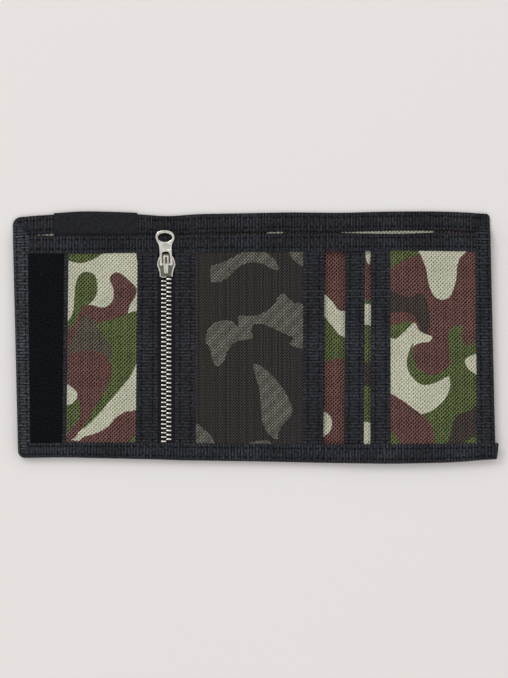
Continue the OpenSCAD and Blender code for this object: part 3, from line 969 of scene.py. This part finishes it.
FRONT_PRINT = [
    # top corner
    ("green", [
        (68, 44.5), (85.5, 44.5), (84.5, 41.5), (80, 39.5), (76, 38), (72.5, 36), (68, 34),
    ]),
    # tongue
    ("beige", [
        (84.5, 45.5), (109, 45.5), (107.5, 42), (105, 39.5), (103.5, 35.5), (103, 29.5), (101.5, 24),
        (99.5, 20), (96, 18.5), (92.5, 19.5), (90, 23), (88.5, 28), (87.5, 34), (85.5, 39.5),
    ]),
    # patch
    ("black", [
        (68, 22.5), (75, 20.5), (79.5, 19.5), (82.5, 21.5), (85.5, 21), (88, 17.5), (89, 11.5),
        (89.5, 6), (88, 2), (85, 2.5), (83.5, 6.5), (81, 10.5), (76, 12.5), (68, 12.5),
    ]),
    # wing
    ("green", [
        (68, 4.5), (72.5, 6), (76.5, 7.5), (81, 7), (78.5, 4), (75, 1.5), (72, -1.5), (68, -4.5),
    ]),
    # hook
    ("beige", [
        (81.5, 7), (83.5, 3.5), (86.5, 1.5), (90.5, 0), (89, -2.5), (85, -3), (81.5, -4.5), (79.5, -7.5),
        (78.5, -11), (79, -15.5), (80.5, -19), (83.5, -22), (87.5, -23.5), (93, -22), (99, -19),
        (99.5, -24), (98, -29), (95, -33), (90, -37), (85, -39), (80, -37), (75, -32.5), (68, -30),
        (68, -3.5), (72.5, -1), (76.5, 2.5),
    ]),
    # crescent
    ("green", [
        (81, -3), (79, -6.5), (77.5, -12.5), (78.5, -17.5), (81.5, -21.5), (85.5, -24), (90.5, -23.5),
        (95, -21.5), (99.5, -19), (102, -16.5), (99.5, -14), (93.5, -18), (88, -18.5), (84, -16),
        (81.5, -12.5), (80.5, -8),
    ]),
    # ball
    ("brown", [
        (89, 4), (92.5, 9), (99.5, 7.5), (100, 2.5), (98.5, -2.5), (99.5, -9), (99, -14), (95, -18),
        (89, -19), (84, -16), (81.5, -12.5), (81, -7.5), (82.5, -4.5), (85.5, -3.5), (89, -2.5),
        (90.5, 0), (88, 2),
    ]),
    # broad right
    ("green", [
        (98.5, 0.5), (100.5, 4.5), (103.5, 6), (106, 4.5), (105.5, 1), (106.5, -3), (109.5, -4.5),
        (114, -3.5), (114, -38.5), (110, -38), (106, -40.5), (103.5, -44.5), (102, -49),
        (104, -55.5), (90, -55.5), (91, -50.5), (90, -46), (87, -41.5), (84.5, -39), (90, -37),
        (95, -33), (98, -29), (99.5, -24), (99, -19), (101.5, -16.5), (99.5, -11.5), (99, -5.5),
    ]),
    # bit at the right edge
    ("beige", [
        (114, -9), (109, -10), (107, -12), (108, -15), (110.5, -17.5), (114, -18.5),
    ]),
    # foot
    ("brown", [
        (68, -29.5), (74, -31), (79, -34.5), (84.5, -38.5), (88.5, -42.5), (91, -47), (91, -51),
        (90, -55.5), (75, -55.5), (72.5, -51), (68, -47),
    ]),
    # low corner
    ("green", [
        (68, -46.5), (72, -49.5), (74, -52.5), (74.5, -55.5), (68, -55.5),
    ]),
    # low patch
    ("black", [
        (99, -55.5), (99.5, -48.5), (101, -42.5), (104, -38.5), (109, -37), (114, -35.5), (114, -55.5),
    ]),
    # bit
    ("green", [
        (107.5, -52), (114, -50), (114, -55.5), (106.5, -55.5),
    ]),
]

# ---------------------------------------------------------------- zip hardware


def bowed(points, steps=5):
    """Open smooth curve through a few points, ends included."""
    p = np.array([points[0]] + list(points) + [points[-1]], float)
    curve = []
    for a, b, c, d in zip(p, p[1:], p[2:], p[3:]):
        for t in np.arange(steps) / steps:
            bend = 2 * b + (c - a) * t + (2 * a - 5 * b + 4 * c - d) * t**2
            curve.append((bend + (3 * b - a - 3 * c + d) * t**3) / 2)
    return curve + [p[-1]]


def both_sides(half):
    """Closed outline from its right half, listed from the foot up.

    x is measured from the zip's centre line.
    """
    half = [tuple(point) for point in half]
    mirrored = [(-x, y) for x, y in reversed(half)]
    return half + mirrored


def oval(middle, wide, tall, count=40):
    """Closed oval on the zip's centre line, from its half width and half height."""
    turns = [2 * math.pi * k / count for k in range(count)]
    return [(wide * math.cos(a), middle + tall * math.sin(a)) for a in turns]


def stamped(layers, round_edge=0.16):
    """Flat metal layers with rounded edges. Each is (lowest z, highest z, outer outline, holes)."""
    made = []
    for bottom, top, outline, holes in layers:
        curve = bpy.data.curves.new("stamping", "CURVE")
        curve.dimensions = "2D"
        curve.fill_mode = "BOTH"
        edge = min(round_edge, (top - bottom) * 0.45)
        curve.extrude = ((top - bottom) / 2 - edge) * MM
        curve.bevel_depth = edge * MM
        curve.bevel_resolution = 3
        curve.offset = -edge * MM
        for loop in [outline] + list(holes):
            line = curve.splines.new("POLY")
            line.points.add(len(loop) - 1)
            for point, (x, y) in zip(line.points, loop):
                point.co = (x * MM, y * MM, 0, 1)
            line.use_cyclic_u = True
        solid = bpy.data.objects.new("stamping", curve)
        solid.location = (ZIP_CENTRE * MM, 0, (bottom + top) / 2 * MM)
        bpy.context.scene.collection.objects.link(solid)
        made.append(solid)
    return made


def joined(name, parts, material):
    """One mesh piece from several solids."""
    bpy.ops.object.select_all(action="DESELECT")
    for part in parts:
        part.select_set(True)
    bpy.context.view_layer.objects.active = parts[0]
    bpy.ops.object.convert(target="MESH")
    bpy.ops.object.join()
    whole = bpy.context.object
    whole.name = name
    bpy.ops.object.transform_apply()
    whole.data.materials.clear()
    whole.data.materials.append(material)
    whole.data.shade_smooth()
    whole.data.set_sharp_from_angle(angle=math.radians(50))
    return whole


def rod(start, end, radius):
    """Round pin between two points, with softened ends."""
    a, b = np.array(start, float), np.array(end, float)
    length = np.linalg.norm(b - a)
    way = (b - a) / length
    side = np.array([0.0, 0.0, 1.0])
    other = np.cross(way, side)
    points = []
    for at, size in ((0, 0.7), (0.08, 1.0), (length - 0.08, 1.0), (length, 0.7)):
        for k in range(12):
            angle = math.pi * k / 6
            out = math.cos(angle) * side + math.sin(angle) * other
            points.append(a + way * at + radius * size * out)
    faces = tube_faces(4, 12, capped=False) + [tuple(range(11, -1, -1)), tuple(range(36, 48))]
    return piece("pin", points, faces, np.zeros((48, 2)), NICKEL)


SLIDER_FOOT = low("slider_body", "y")
SLIDER_TOP = high("slider_body", "y")
PLATE_TOP = high("slider_body", "z")
PLATE_LOW = low("slider_body", "z")
BRIDGE_TOP = high("slider_bridge", "z")
PULL_LOW = low("pull_tab", "z")
PULL_TOP = high("pull_tab", "z")
PULL_END = high("pull_tab", "y")
EYE = PULL_END - 3.6
PULL_LEAN = 0.05


def slider():
    """Slider: two plates whose rims turn towards each other, and a bridge that holds the pull's pin."""
    foot, top = SLIDER_FOOT, SLIDER_TOP
    shape = bowed([(3.3, foot), (3.35, foot + 1.5), (3.9, foot + 3.8), (4.6, foot + 5.8), (4.4, foot + 7.6),
                   (3.8, foot + 9.4), (3.0, top - 1.0), (1.5, top)])
    inset = bowed([(2.7, foot - 0.3), (2.75, foot + 1.7), (3.15, foot + 3.9), (3.8, foot + 5.8),
                   (3.65, foot + 7.5), (3.1, foot + 9.2), (2.3, top - 1.3), (1.2, top - 0.7)])
    # The rims stop short of the top.
    right_lip = shape[:-6] + inset[:-6][::-1]
    left_lip = [(-x, y) for x, y in right_lip]
    plates = [
        (PLATE_LOW, PLATE_LOW + 0.5, both_sides(shape), []),
        (PLATE_TOP - 0.8, PLATE_TOP - 0.35, both_sides(shape), []),
    ]
    rims = [
        (PLATE_TOP - 0.8, PLATE_TOP + 0.05, right_lip, []),
        (PLATE_TOP - 0.8, PLATE_TOP + 0.05, left_lip, []),
    ]
    # The plates take the darker nickel: painted shade under the bright rims.
    whole = joined("zip_slider", stamped(plates), NICKEL_PAINTED_SHADE)
    return whole, joined("zip_slider_rims", stamped(rims), NICKEL)


def bridge():
    """Bridge: two rails with a gap between them, closed at both ends."""
    low_end, high_end = low("slider_bridge", "y"), high("slider_bridge", "y")
    middle = (low_end + high_end) / 2
    block = both_sides([(0.9, low_end + 0.6), (1.2, middle), (1.25, high_end - 0.5), (0.9, high_end)])
    gap = both_sides([(0.4, middle + 0.6), (0.6, middle + 1.2), (0.6, high_end - 1.1),
                      (0.45, high_end - 0.7)])
    rail_right = [(0.6, low_end + 1.0), (0.95, low_end + 0.8), (1.2, middle), (1.25, high_end - 0.3),
                  (0.75, high_end - 0.2), (0.7, middle)]
    rail_left = [(-x * 1.04, y) for x, y in rail_right]
    cross = [(-1.2, high_end - 0.6), (1.2, high_end - 0.6), (1.1, high_end), (-1.1, high_end)]
    layers = [
        (PLATE_TOP - 0.2, BRIDGE_TOP - 0.75, block, [gap]),
        (BRIDGE_TOP - 0.9, BRIDGE_TOP, rail_right, []),
        (BRIDGE_TOP - 0.9, BRIDGE_TOP, rail_left, []),
        (BRIDGE_TOP - 0.9, BRIDGE_TOP - 0.1, cross, []),
    ]
    return joined("zip_slider_bridge", stamped(layers), NICKEL)


def leaned(outline, pivot):
    """The pull hangs a few degrees off straight, as it has play on its pin."""
    return [(x - PULL_LEAN * max(y - pivot, 0), y) for x, y in outline]


def pull():
    """Pull tab: an oval ring, a sunk panel framed by a rim, and two arms on the pin."""
    arm_foot = low("pull_tab", "y") - 0.2
    pivot = arm_foot + 2
    side = [(3.25, arm_foot), (3.3, arm_foot + 2.5), (3.1, arm_foot + 6.0), (3.15, arm_foot + 9.0),
            (3.5, EYE - 3.3), (4.3, EYE - 1.9), (4.75, EYE - 0.2), (4.55, EYE + 1.4), (3.6, EYE + 2.7),
            (2.0, EYE + 3.45), (0.3, PULL_END)]
    arch = [(2.05, arm_foot), (2.15, arm_foot + 3.0), (2.1, arm_foot + 5.2), (1.7, arm_foot + 6.6),
            (0.7, arm_foot + 7.1)]
    outline = leaned(both_sides(bowed(side)) + both_sides(bowed(arch))[::-1], pivot)
    eye = leaned(oval(EYE, 3.7, 2.3), pivot)
    sill = arm_foot + 8.1
    sunk_half = [(2.35, sill), (2.4, sill + 1.5), (2.7, EYE - 3.4), (1.4, EYE - 2.95)]
    sunk_panel = leaned(both_sides(sunk_half), pivot)
    layers = [
        (PULL_LOW, PULL_TOP - 0.3, outline, [eye]),
        (PULL_TOP - 0.5, PULL_TOP, outline, [eye, sunk_panel]),
    ]
    whole = stamped(layers, 0.22)
    pin_y, pin_z, half_pin = low("pull_tab", "y") + 0.5, PULL_LOW + 0.5, 2.2
    whole.append(rod((ZIP_CENTRE - half_pin, pin_y, pin_z), (ZIP_CENTRE + half_pin, pin_y, pin_z), 0.45))
    return joined("zip_pull", whole, NICKEL)


def teeth(name, node, way):
    """One row of die-cast teeth. Each grips the tape's edge with a thick root and narrows to its head."""
    root = low(node, "x") if way > 0 else high(node, "x")
    reach = high(node, "x") - low(node, "x") - 0.45
    floor_z, roof_z = low(node, "z"), high(node, "z")
    first, last = low(node, "y"), high(node, "y")
    count = round((last - first - TOOTH_LONG) / TOOTH_PITCH) + 1
    middle_z = (floor_z + roof_z) / 2
    # Along each tooth from its root: how far out, half its length along the zip, and half its height.
    sections = [(0.0, 0.22, 0.55), (0.12, 0.36, 0.8), (0.5, 0.44, 0.92), (0.62 * reach, 0.40, 0.86),
                (0.85 * reach, 0.34, 0.72), (0.97 * reach, 0.26, 0.5), (reach, 0.12, 0.25)]
    around = 10
    one = []
    for out, half, tall in sections:
        for k in range(around):
            angle = 2 * math.pi * (k + 0.5) / around
            square = 1.12 / max(abs(math.cos(angle)), abs(math.sin(angle))) ** 0.45
            up = tall * math.sin(angle) * square * 0.95
            one.append((root + way * out, half * math.cos(angle) * square, middle_z + up))
    one = np.array(one)
    faces = np.array(tube_faces(len(sections), around))
    centres = [first + TOOTH_LONG / 2 + k * TOOTH_PITCH for k in range(count)]
    points = np.concatenate([one + (0, centre, 0) for centre in centres])
    all_faces = np.concatenate([faces + k * len(one) for k in range(count)])
    return piece(name, points, all_faces, points[:, :2], NICKEL_TEETH)


# ---------------------------------------------------------------- the wallet's pieces


def face_at(x):
    """Height of the inner face: the right flap holds one more card pocket."""
    return FACE + (FACE_RIGHT - FACE) * eased(x, CREASE_RIGHT - 5, CREASE_RIGHT + 5)


def clipped(length, start, end):
    """The part of start to end that belongs to one length of a skin."""
    cut_from, cut_to = LENGTHS[length]
    return max(start, cut_from), min(end, cut_to)


def copies(shapes, move, flip=(1, 1), size=1.25):
    """The same printed shapes again, flipped and moved about their own middle."""
    everything = np.array([point for colour, points in shapes for point in points])
    middle = (everything.min(0) + everything.max(0)) / 2
    change = np.array(flip) * size
    return [(colour, (np.array(points) - middle) * change + np.array(move)) for colour, points in shapes]


# What shows in the note pocket's mouth: colour, and where it starts and ends. The first is the ground of that
# strip,
# black all along it: painted shadow deep in the mouth. The others are print over it.
MOUTH_LOW = 50
MOUTH_HIGH = 54
MOUTH_PRINT_AND_SHADOW = [("black", LEFT_EDGE, RIGHT_EDGE), ("beige", -113, -103), ("beige", 7, 14), ("beige", 48, 87),
               ("brown", 99, 113)]


def outer_cloth():
    """The shell: one cloth behind everything, seen outside and as a sliver in the note pocket's mouth."""
    shapes = copies(FRONT_PRINT, (-97, 2), (1, -1)) + copies(LEFT_PRINT, (-50, -3), (-1, 1))
    shapes += copies(FRONT_PRINT, (-2, 4), (-1, -1)) + copies(LEFT_PRINT, (45, 2), (-1, -1))
    shapes += copies(FRONT_PRINT, (95, -2), (1, 1))
    # Painted shadow in the note pocket's mouth, with bits of print over it.
    for colour, start, end in MOUTH_PRINT_AND_SHADOW:
        strip = [(start, MOUTH_LOW), (end, MOUTH_LOW), (end, MOUTH_HIGH), (start + 1, MOUTH_HIGH + 1)]
        shapes.append((colour, strip))
    made = []
    for length in LENGTHS:
        x_span = clipped(length, LEFT_EDGE + CLOTH_INSET, RIGHT_EDGE - CLOTH_INSET)
        y_span = (BOTTOM_EDGE + CLOTH_INSET, TOP_EDGE - CLOTH_INSET)
        cloth = printed_cloth(f"outer_cloth_{length}", CAMO, x_span, y_span, high("shell_middle", "z"),
                              low("shell_middle", "z"), "beige", shapes, outer=True, bend=FOLDS[length][2:])
        made.append((length, cloth, x_span, y_span))
    return made


def lining():
    """The inner sheet. Its strip of print shows between the window and the card pockets."""
    made = []
    for length in LENGTHS:
        x_span = clipped(length, LEFT_EDGE + 3, RIGHT_EDGE - 3)
        y_span = (BOTTOM_EDGE + CLOTH_INSET, LINING_TOP - 0.7)
        cloth = printed_cloth(f"lining_cloth_{length}", CAMO, x_span, y_span, high("lining_middle", "z"),
                              low("lining_middle", "z"), "brown", LINING_STRIP_PRINT, bend=FOLDS[length][2:])
        made.append((length, cloth, x_span, y_span))
    return made


def fasten_skin(cloth, fold, nodes):
    fasten(cloth, fold=fold, stands_for=nodes)


def panel(name, material, x_span, node, ground, shapes, body, rise, seams):
    """The cloth of one pocket, which stays on one panel of the wallet. It domes by rise between its seams."""
    cloth = printed_cloth(name, material, x_span, POCKET_SPAN, high(node, "z"), low(node, "z"), ground,
                          shapes, rise, (seams, (BOTTOM_IN, LINING_IN)))
    fasten(cloth, body=body, stands_for=[node])


def fasten_sewn(made, nodes, fold=None, body=None):
    """Fastens a tape, which stands for the nodes, and its stitches."""
    band, threads = made
    fasten(band, body, fold, nodes)
    fasten(threads, body, fold)
    return made


def make_floor():
    """Plain pale floor just under the wallet."""
    bpy.ops.mesh.primitive_plane_add(size=6, location=(0, 0, -0.05 * MM))
    plane = bpy.context.object
    plane.name = "floor"
    plane.data.materials.append(PAPER)
    return plane


# The floor comes first, because the cloth rests on it.
floor = make_floor()

TOP_WIDTH = TOP_EDGE - TOP_IN
BOTTOM_WIDTH = BOTTOM_IN - BOTTOM_EDGE
LEFT_WIDTH = LEFT_IN - LEFT_EDGE
RIGHT_WIDTH = RIGHT_EDGE - RIGHT_IN
LABEL_START = low("label_tab", "x")
LABEL_END = high("label_tab", "x")


def pressed_by_label(x):
    """1 well inside the label's fold and 0 outside it."""
    return eased(x, LABEL_START + 1, LABEL_START + 2) * (1 - eased(x, LABEL_END - 1.8, LABEL_END - 0.8))


def top_binding_height(x):
    """The label's fold presses the binding a little flatter."""
    return high("binding_top_middle", "z") - 0.35 * pressed_by_label(x)


def top_binding_back(x):
    """The label's fold lies between the binding's back and the table."""
    return 0.42 * pressed_by_label(x)


def lining_binding_height(x):
    """Its two ends are tucked under the side bindings."""
    tucked = 1 - eased(x, LEFT_IN - 2, LEFT_IN + 0.5) + eased(x, RIGHT_IN - 0.5, RIGHT_IN + 2)
    return face_at(x) - 0.6 * tucked


def side_height(face, tucked_end):
    """A side binding comes down where it leaves the pockets at the top, and at its foot if tucked in."""
    def height(y):
        lowered = (face - 2.0) * eased(y, LINING_TOP - 1, TOP_IN + 5)
        return face - lowered - 0.8 * tucked_end * (1 - eased(y, BOTTOM_IN - 3, BOTTOM_IN))
    return height


def foot_under(y):
    """The right binding's foot is thin underneath too, because the bottom binding is folded round it."""
    return 0.8 * (1 - eased(y, BOTTOM_IN - 3, BOTTOM_IN))


# How each length's two ends slant, to meet the side bindings in mitres.
TOP_ENDS = {"left": (LEFT_WIDTH / TOP_WIDTH, 0), "middle": (0, 0), "right": (0, -RIGHT_WIDTH / TOP_WIDTH)}
BOTTOM_ENDS = {"left": (LEFT_WIDTH / BOTTOM_WIDTH, 0), "middle": (0, 0), "right": (0, 0.12)}
# Last part of the names of the CAD nodes that each length stands for.
NODE_PARTS = {"left": ["left"], "middle": ["spine", "middle"], "right": ["right"]}

for length in LENGTHS:
    parts = NODE_PARTS[length]
    start, end = clipped(length, LEFT_EDGE, RIGHT_EDGE)
    top = tape(f"top_binding_{length}", RIBBED_DARK, start, end, TOP_EDGE, -1, top_binding_height,
               top_binding_back, TOP_WIDTH, mitres=TOP_ENDS[length], outer=True, thread=SEWING)
    fasten_sewn(top, [f"binding_top_{part}" for part in parts], fold=length)

    start, end = clipped(length, LEFT_EDGE, RIGHT_EDGE + 0.4)
    bottom = tape(f"bottom_binding_{length}", RIBBED, start, end, BOTTOM_EDGE, 1, face_at, 0.0,
                  BOTTOM_WIDTH, mitres=BOTTOM_ENDS[length], thread=SEWING)
    fasten_sewn(bottom, [f"binding_bottom_{part}" for part in parts], fold=length)

    start, end = clipped(length, LEFT_EDGE + 4, RIGHT_EDGE - 4)
    inner = tape(f"lining_binding_{length}", RIBBED_DARK, start, end, LINING_TOP, -1, lining_binding_height,
                 low("binding_inner_top_middle", "z"), LINING_TOP - LINING_IN, thread=SEWING)
    fasten_sewn(inner, [f"binding_inner_top_{part}" for part in parts], fold=length)

for length, cloth, x_span, y_span in outer_cloth():
    nodes = [f"shell_{part}" for part in NODE_PARTS[length]]
    fasten_skin(cloth, length, nodes)

LINING_NODES = {
    "left": ["coin_pocket_back_left"],
    "middle": ["coin_pocket_back_spine", "lining_middle"],
    "right": ["lining_right"],
}
for length, cloth, x_span, y_span in lining():
    fold = "lining" if length == "middle" else length
    fasten_skin(cloth, fold, LINING_NODES[length])

left_binding = tape("left_binding", RIBBED_GREY, BOTTOM_EDGE, TOP_EDGE, LEFT_EDGE, 1,
                    side_height(FACE, 0), 0.0, LEFT_WIDTH, runs="y",
                    mitres=(BOTTOM_WIDTH / LEFT_WIDTH, -TOP_WIDTH / LEFT_WIDTH), outer=True, thread=SEWING)
fasten_sewn(left_binding, ["binding_left"], body="left_flap")
right_binding = tape("right_binding", RIBBED, BOTTOM_EDGE + 3, TOP_EDGE, RIGHT_EDGE, -1,
                     side_height(FACE_RIGHT, 1), foot_under, RIGHT_WIDTH, runs="y",
                     mitres=(0, -TOP_WIDTH / RIGHT_WIDTH), outer=True, thread=SEWING)
fasten_sewn(right_binding, ["binding_right"], body="right_flap")

# Tapes sewn flat beside the zip, and folded round the mouths of the window and the card pockets.
# name: material, node, side of the node that has the outer edge or fold, how far the edge lies past it,
# width, body, folded
TUCK = 0.35
POCKET_TAPES = {
    "zip_side_tape_left": (RIBBED_DARK, "zip_edge_tape_left", low, 0.0, 10.7, "left_flap", False),
    "zip_side_tape_right": (RIBBED_DARK, "zip_edge_tape_right", high, 0.0, 10.5, "middle", False),
    "window_mouth_tape": (RIBBED_DARK, "window_edge_tape", high, 0.7, 10.7, "middle", True),
    "rear_mouth_tape": (RIBBED, "rear_pocket_edge_tape", low, 0.0, 9.9, "right_flap", True),
    "front_mouth_tape": (RIBBED, "front_pocket_edge_tape", low, 0.0, 9.9, "right_flap", True),
}
for name, (material, node, side, past, width, body, folded) in POCKET_TAPES.items():
    inward = 1 if side is low else -1
    # A folded mouth stands a little higher than its node, clear of the print under it.
    crown = high(node, "z") + (0.2 if folded else 0.0)
    made = tape(name, material, BOTTOM_IN - TUCK, LINING_IN + TUCK, side(node, "x") - inward * past, inward,
                crown, low(node, "z"), width, runs="y", folded=folded, thread=SEWING)
    fasten_sewn(made, [node], body=body)

# The pockets' own cloth reaches a little way under the tapes above and below.
POCKET_SPAN = (BOTTOM_IN - 4, LINING_IN + 4)

# ---- left flap
LOOP_IN = high("loop_strip", "x")
SELVEDGE = 2.2
SELVEDGE_TOP = 5.15
loops = pile("loop_pile", LOOPS, (low("loop_strip", "x") - 0.5, LOOP_IN - SELVEDGE),
             (BOTTOM_IN - TUCK, LINING_IN + TUCK), high("loop_strip", "z") - 0.3, low("loop_strip", "z"),
             seed=3)
fasten(loops, body="left_flap", stands_for=["loop_strip"])
selvedge = tape("loop_strip_selvedge", RIBBED_DARK, BOTTOM_IN - TUCK, LINING_IN + TUCK, LOOP_IN, -1,
                SELVEDGE_TOP, low("loop_strip", "z"), SELVEDGE, runs="y", folded=False, rows=())
fasten(selvedge[0], body="left_flap")
panel("coin_pocket_cloth", CAMO, (LEFT_IN - 3, CREASE_LEFT - 1), "coin_pocket_front", "beige", LEFT_PRINT,
      "left_flap", 0.3, (LOOP_IN, low("zip_edge_tape_left", "x")))


# ---- zip
def zip_cloth(side, fold, inward):
    """One tape of the zip, from its hidden wing to the teeth."""
    woven, wing = f"zip_tape_{side}", f"zip_tape_wing_{side}"
    edge, reached = (low(wing, "x"), high(woven, "x")) if inward > 0 else (high(wing, "x"), low(woven, "x"))
    made = tape(f"zip_cloth_{side}", ZIP_CLOTH, BOTTOM_IN - 5, LINING_IN + 5, edge, inward, high(woven, "z"),
                low(woven, "z"), abs(reached - edge), runs="y", folded=False, rows=())
    fasten(made[0], fold=fold, stands_for=[woven, wing])


zip_cloth("left", "left", 1)
zip_cloth("right", "middle", -1)
for side, inward in (("left", 1), ("right", -1)):
    node = f"zip_teeth_{side}"
    fasten(teeth(f"zip_row_{side}", node, inward), body="spine", stands_for=[node])
slider_plates, slider_rims = slider()
fasten(slider_plates, body="slider", stands_for=["slider_body"])
fasten(slider_rims, body="slider")
fasten(bridge(), body="slider", stands_for=["slider_bridge"])
fasten(pull(), body="puller", stands_for=["pull_tab"])

# ---- middle panel
WINDOW_SPAN = (low("mesh_window", "x"), high("mesh_window", "x"))
mesh = net("window_net", NET, WINDOW_SPAN, POCKET_SPAN, high("mesh_window", "z") + 0.02)
fasten(mesh, body="middle")
# Its black ground stands for the print's other colours, painted as deep shade under the net.
panel("window_cloth", CAMO_SHADED_BY_NET, WINDOW_SPAN, "mesh_window", "black", WINDOW_PRINT, "middle",
      0.0, WINDOW_SPAN)

# ---- right flap
panel("rear_pocket_cloth", CAMO, (low("card_pocket_rear", "x"), RIGHT_IN + 4), "card_pocket_rear", "brown",
      REAR_PRINT, "right_flap", 0.0, (low("card_pocket_rear", "x"), RIGHT_IN))
panel("front_pocket_cloth", CAMO, (low("card_pocket_front", "x"), RIGHT_IN + 4), "card_pocket_front", "brown",
      FRONT_PRINT, "right_flap", 0.3, (high("front_pocket_edge_tape", "x"), RIGHT_IN))
hook_side = hooks("hook_strip_hooks", HOOKS, (low("hook_strip", "x"), high("hook_strip", "x")),
                  (low("hook_strip", "y"), high("hook_strip", "y")), high("hook_strip", "z"),
                  low("hook_strip", "z"))
fasten(hook_side, body="right_flap", stands_for=["hook_strip"])

# ---- label
label = tape("woven_label", LABEL, LABEL_START + 1, LABEL_END - 0.8, TOP_EDGE + 0.7, -1,
             high("label_tab", "z") + 0.05, 0.0, TOP_WIDTH + 2.4, outer=True, rows=(), bumpy=0.05)
fasten(label[0], body="left_flap", stands_for=["label_tab"])

# ---------------------------------------------------------------- camera and light

# How much of the table the camera sees from end to end, where its middle is, and how far up it hangs,
# in metres.
SEEN = 0.34442
SEEN_MIDDLE = -0.00076
FAR = 1.6


def make_camera():
    """Long lens, straight above."""
    data = bpy.data.cameras.new("camera")
    camera = bpy.data.objects.new("camera", data)
    bpy.context.scene.collection.objects.link(camera)
    camera.location = (0, SEEN_MIDDLE, FAR)
    data.sensor_width = 36
    data.lens = data.sensor_width * (FAR - FACE * MM) / SEEN
    bpy.context.scene.camera = camera


def softbox(name, place, turn, size, power):
    """Rectangular area light. turn is in degrees, size in metres and power in watts."""
    data = bpy.data.lights.new(name, "AREA")
    data.shape = "RECTANGLE"
    data.size, data.size_y = size
    data.energy = power
    light = bpy.data.objects.new(name, data)
    bpy.context.scene.collection.objects.link(light)
    light.location = place
    light.rotation_euler = Euler([math.radians(a) for a in turn])


# How far up the room, from 0 at the horizon to 1 straight overhead, and how bright it is there.
ROOM_LEVELS = [(0.1, 0.08), (0.5, 1.2), (0.78, 1.5), (0.95, 0.78)]
ROOM_STRENGTH = 0.79


def make_room():
    """A white tent: bright overhead and darker towards its foot, so that metal has something to reflect."""
    room = bpy.data.worlds.new("white tent")
    room.use_nodes = True
    nodes, links = room.node_tree.nodes, room.node_tree.links
    way = nodes.new("ShaderNodeTexCoord")
    up = nodes.new("ShaderNodeSeparateXYZ")
    ramp = nodes.new("ShaderNodeValToRGB")
    links.new(way.outputs["Generated"], up.inputs[0])
    links.new(up.outputs["Z"], ramp.inputs[0])
    links.new(ramp.outputs[0], nodes["Background"].inputs[0])
    ramp.color_ramp.elements.new(0.3)
    ramp.color_ramp.elements.new(0.7)
    for stop, (place, level_here) in zip(ramp.color_ramp.elements, ROOM_LEVELS):
        stop.position = place
        stop.color = (level_here, level_here * 0.995, level_here * 0.99, 1)
    nodes["Background"].inputs[1].default_value = ROOM_STRENGTH
    bpy.context.scene.world = room


make_camera()
make_room()
softbox("key softbox", (-1.6, 2.0, 3.0), (-34, -28, 0), (1.6, 1.6), 38.0)
bpy.context.scene.view_settings.view_transform = "Standard"
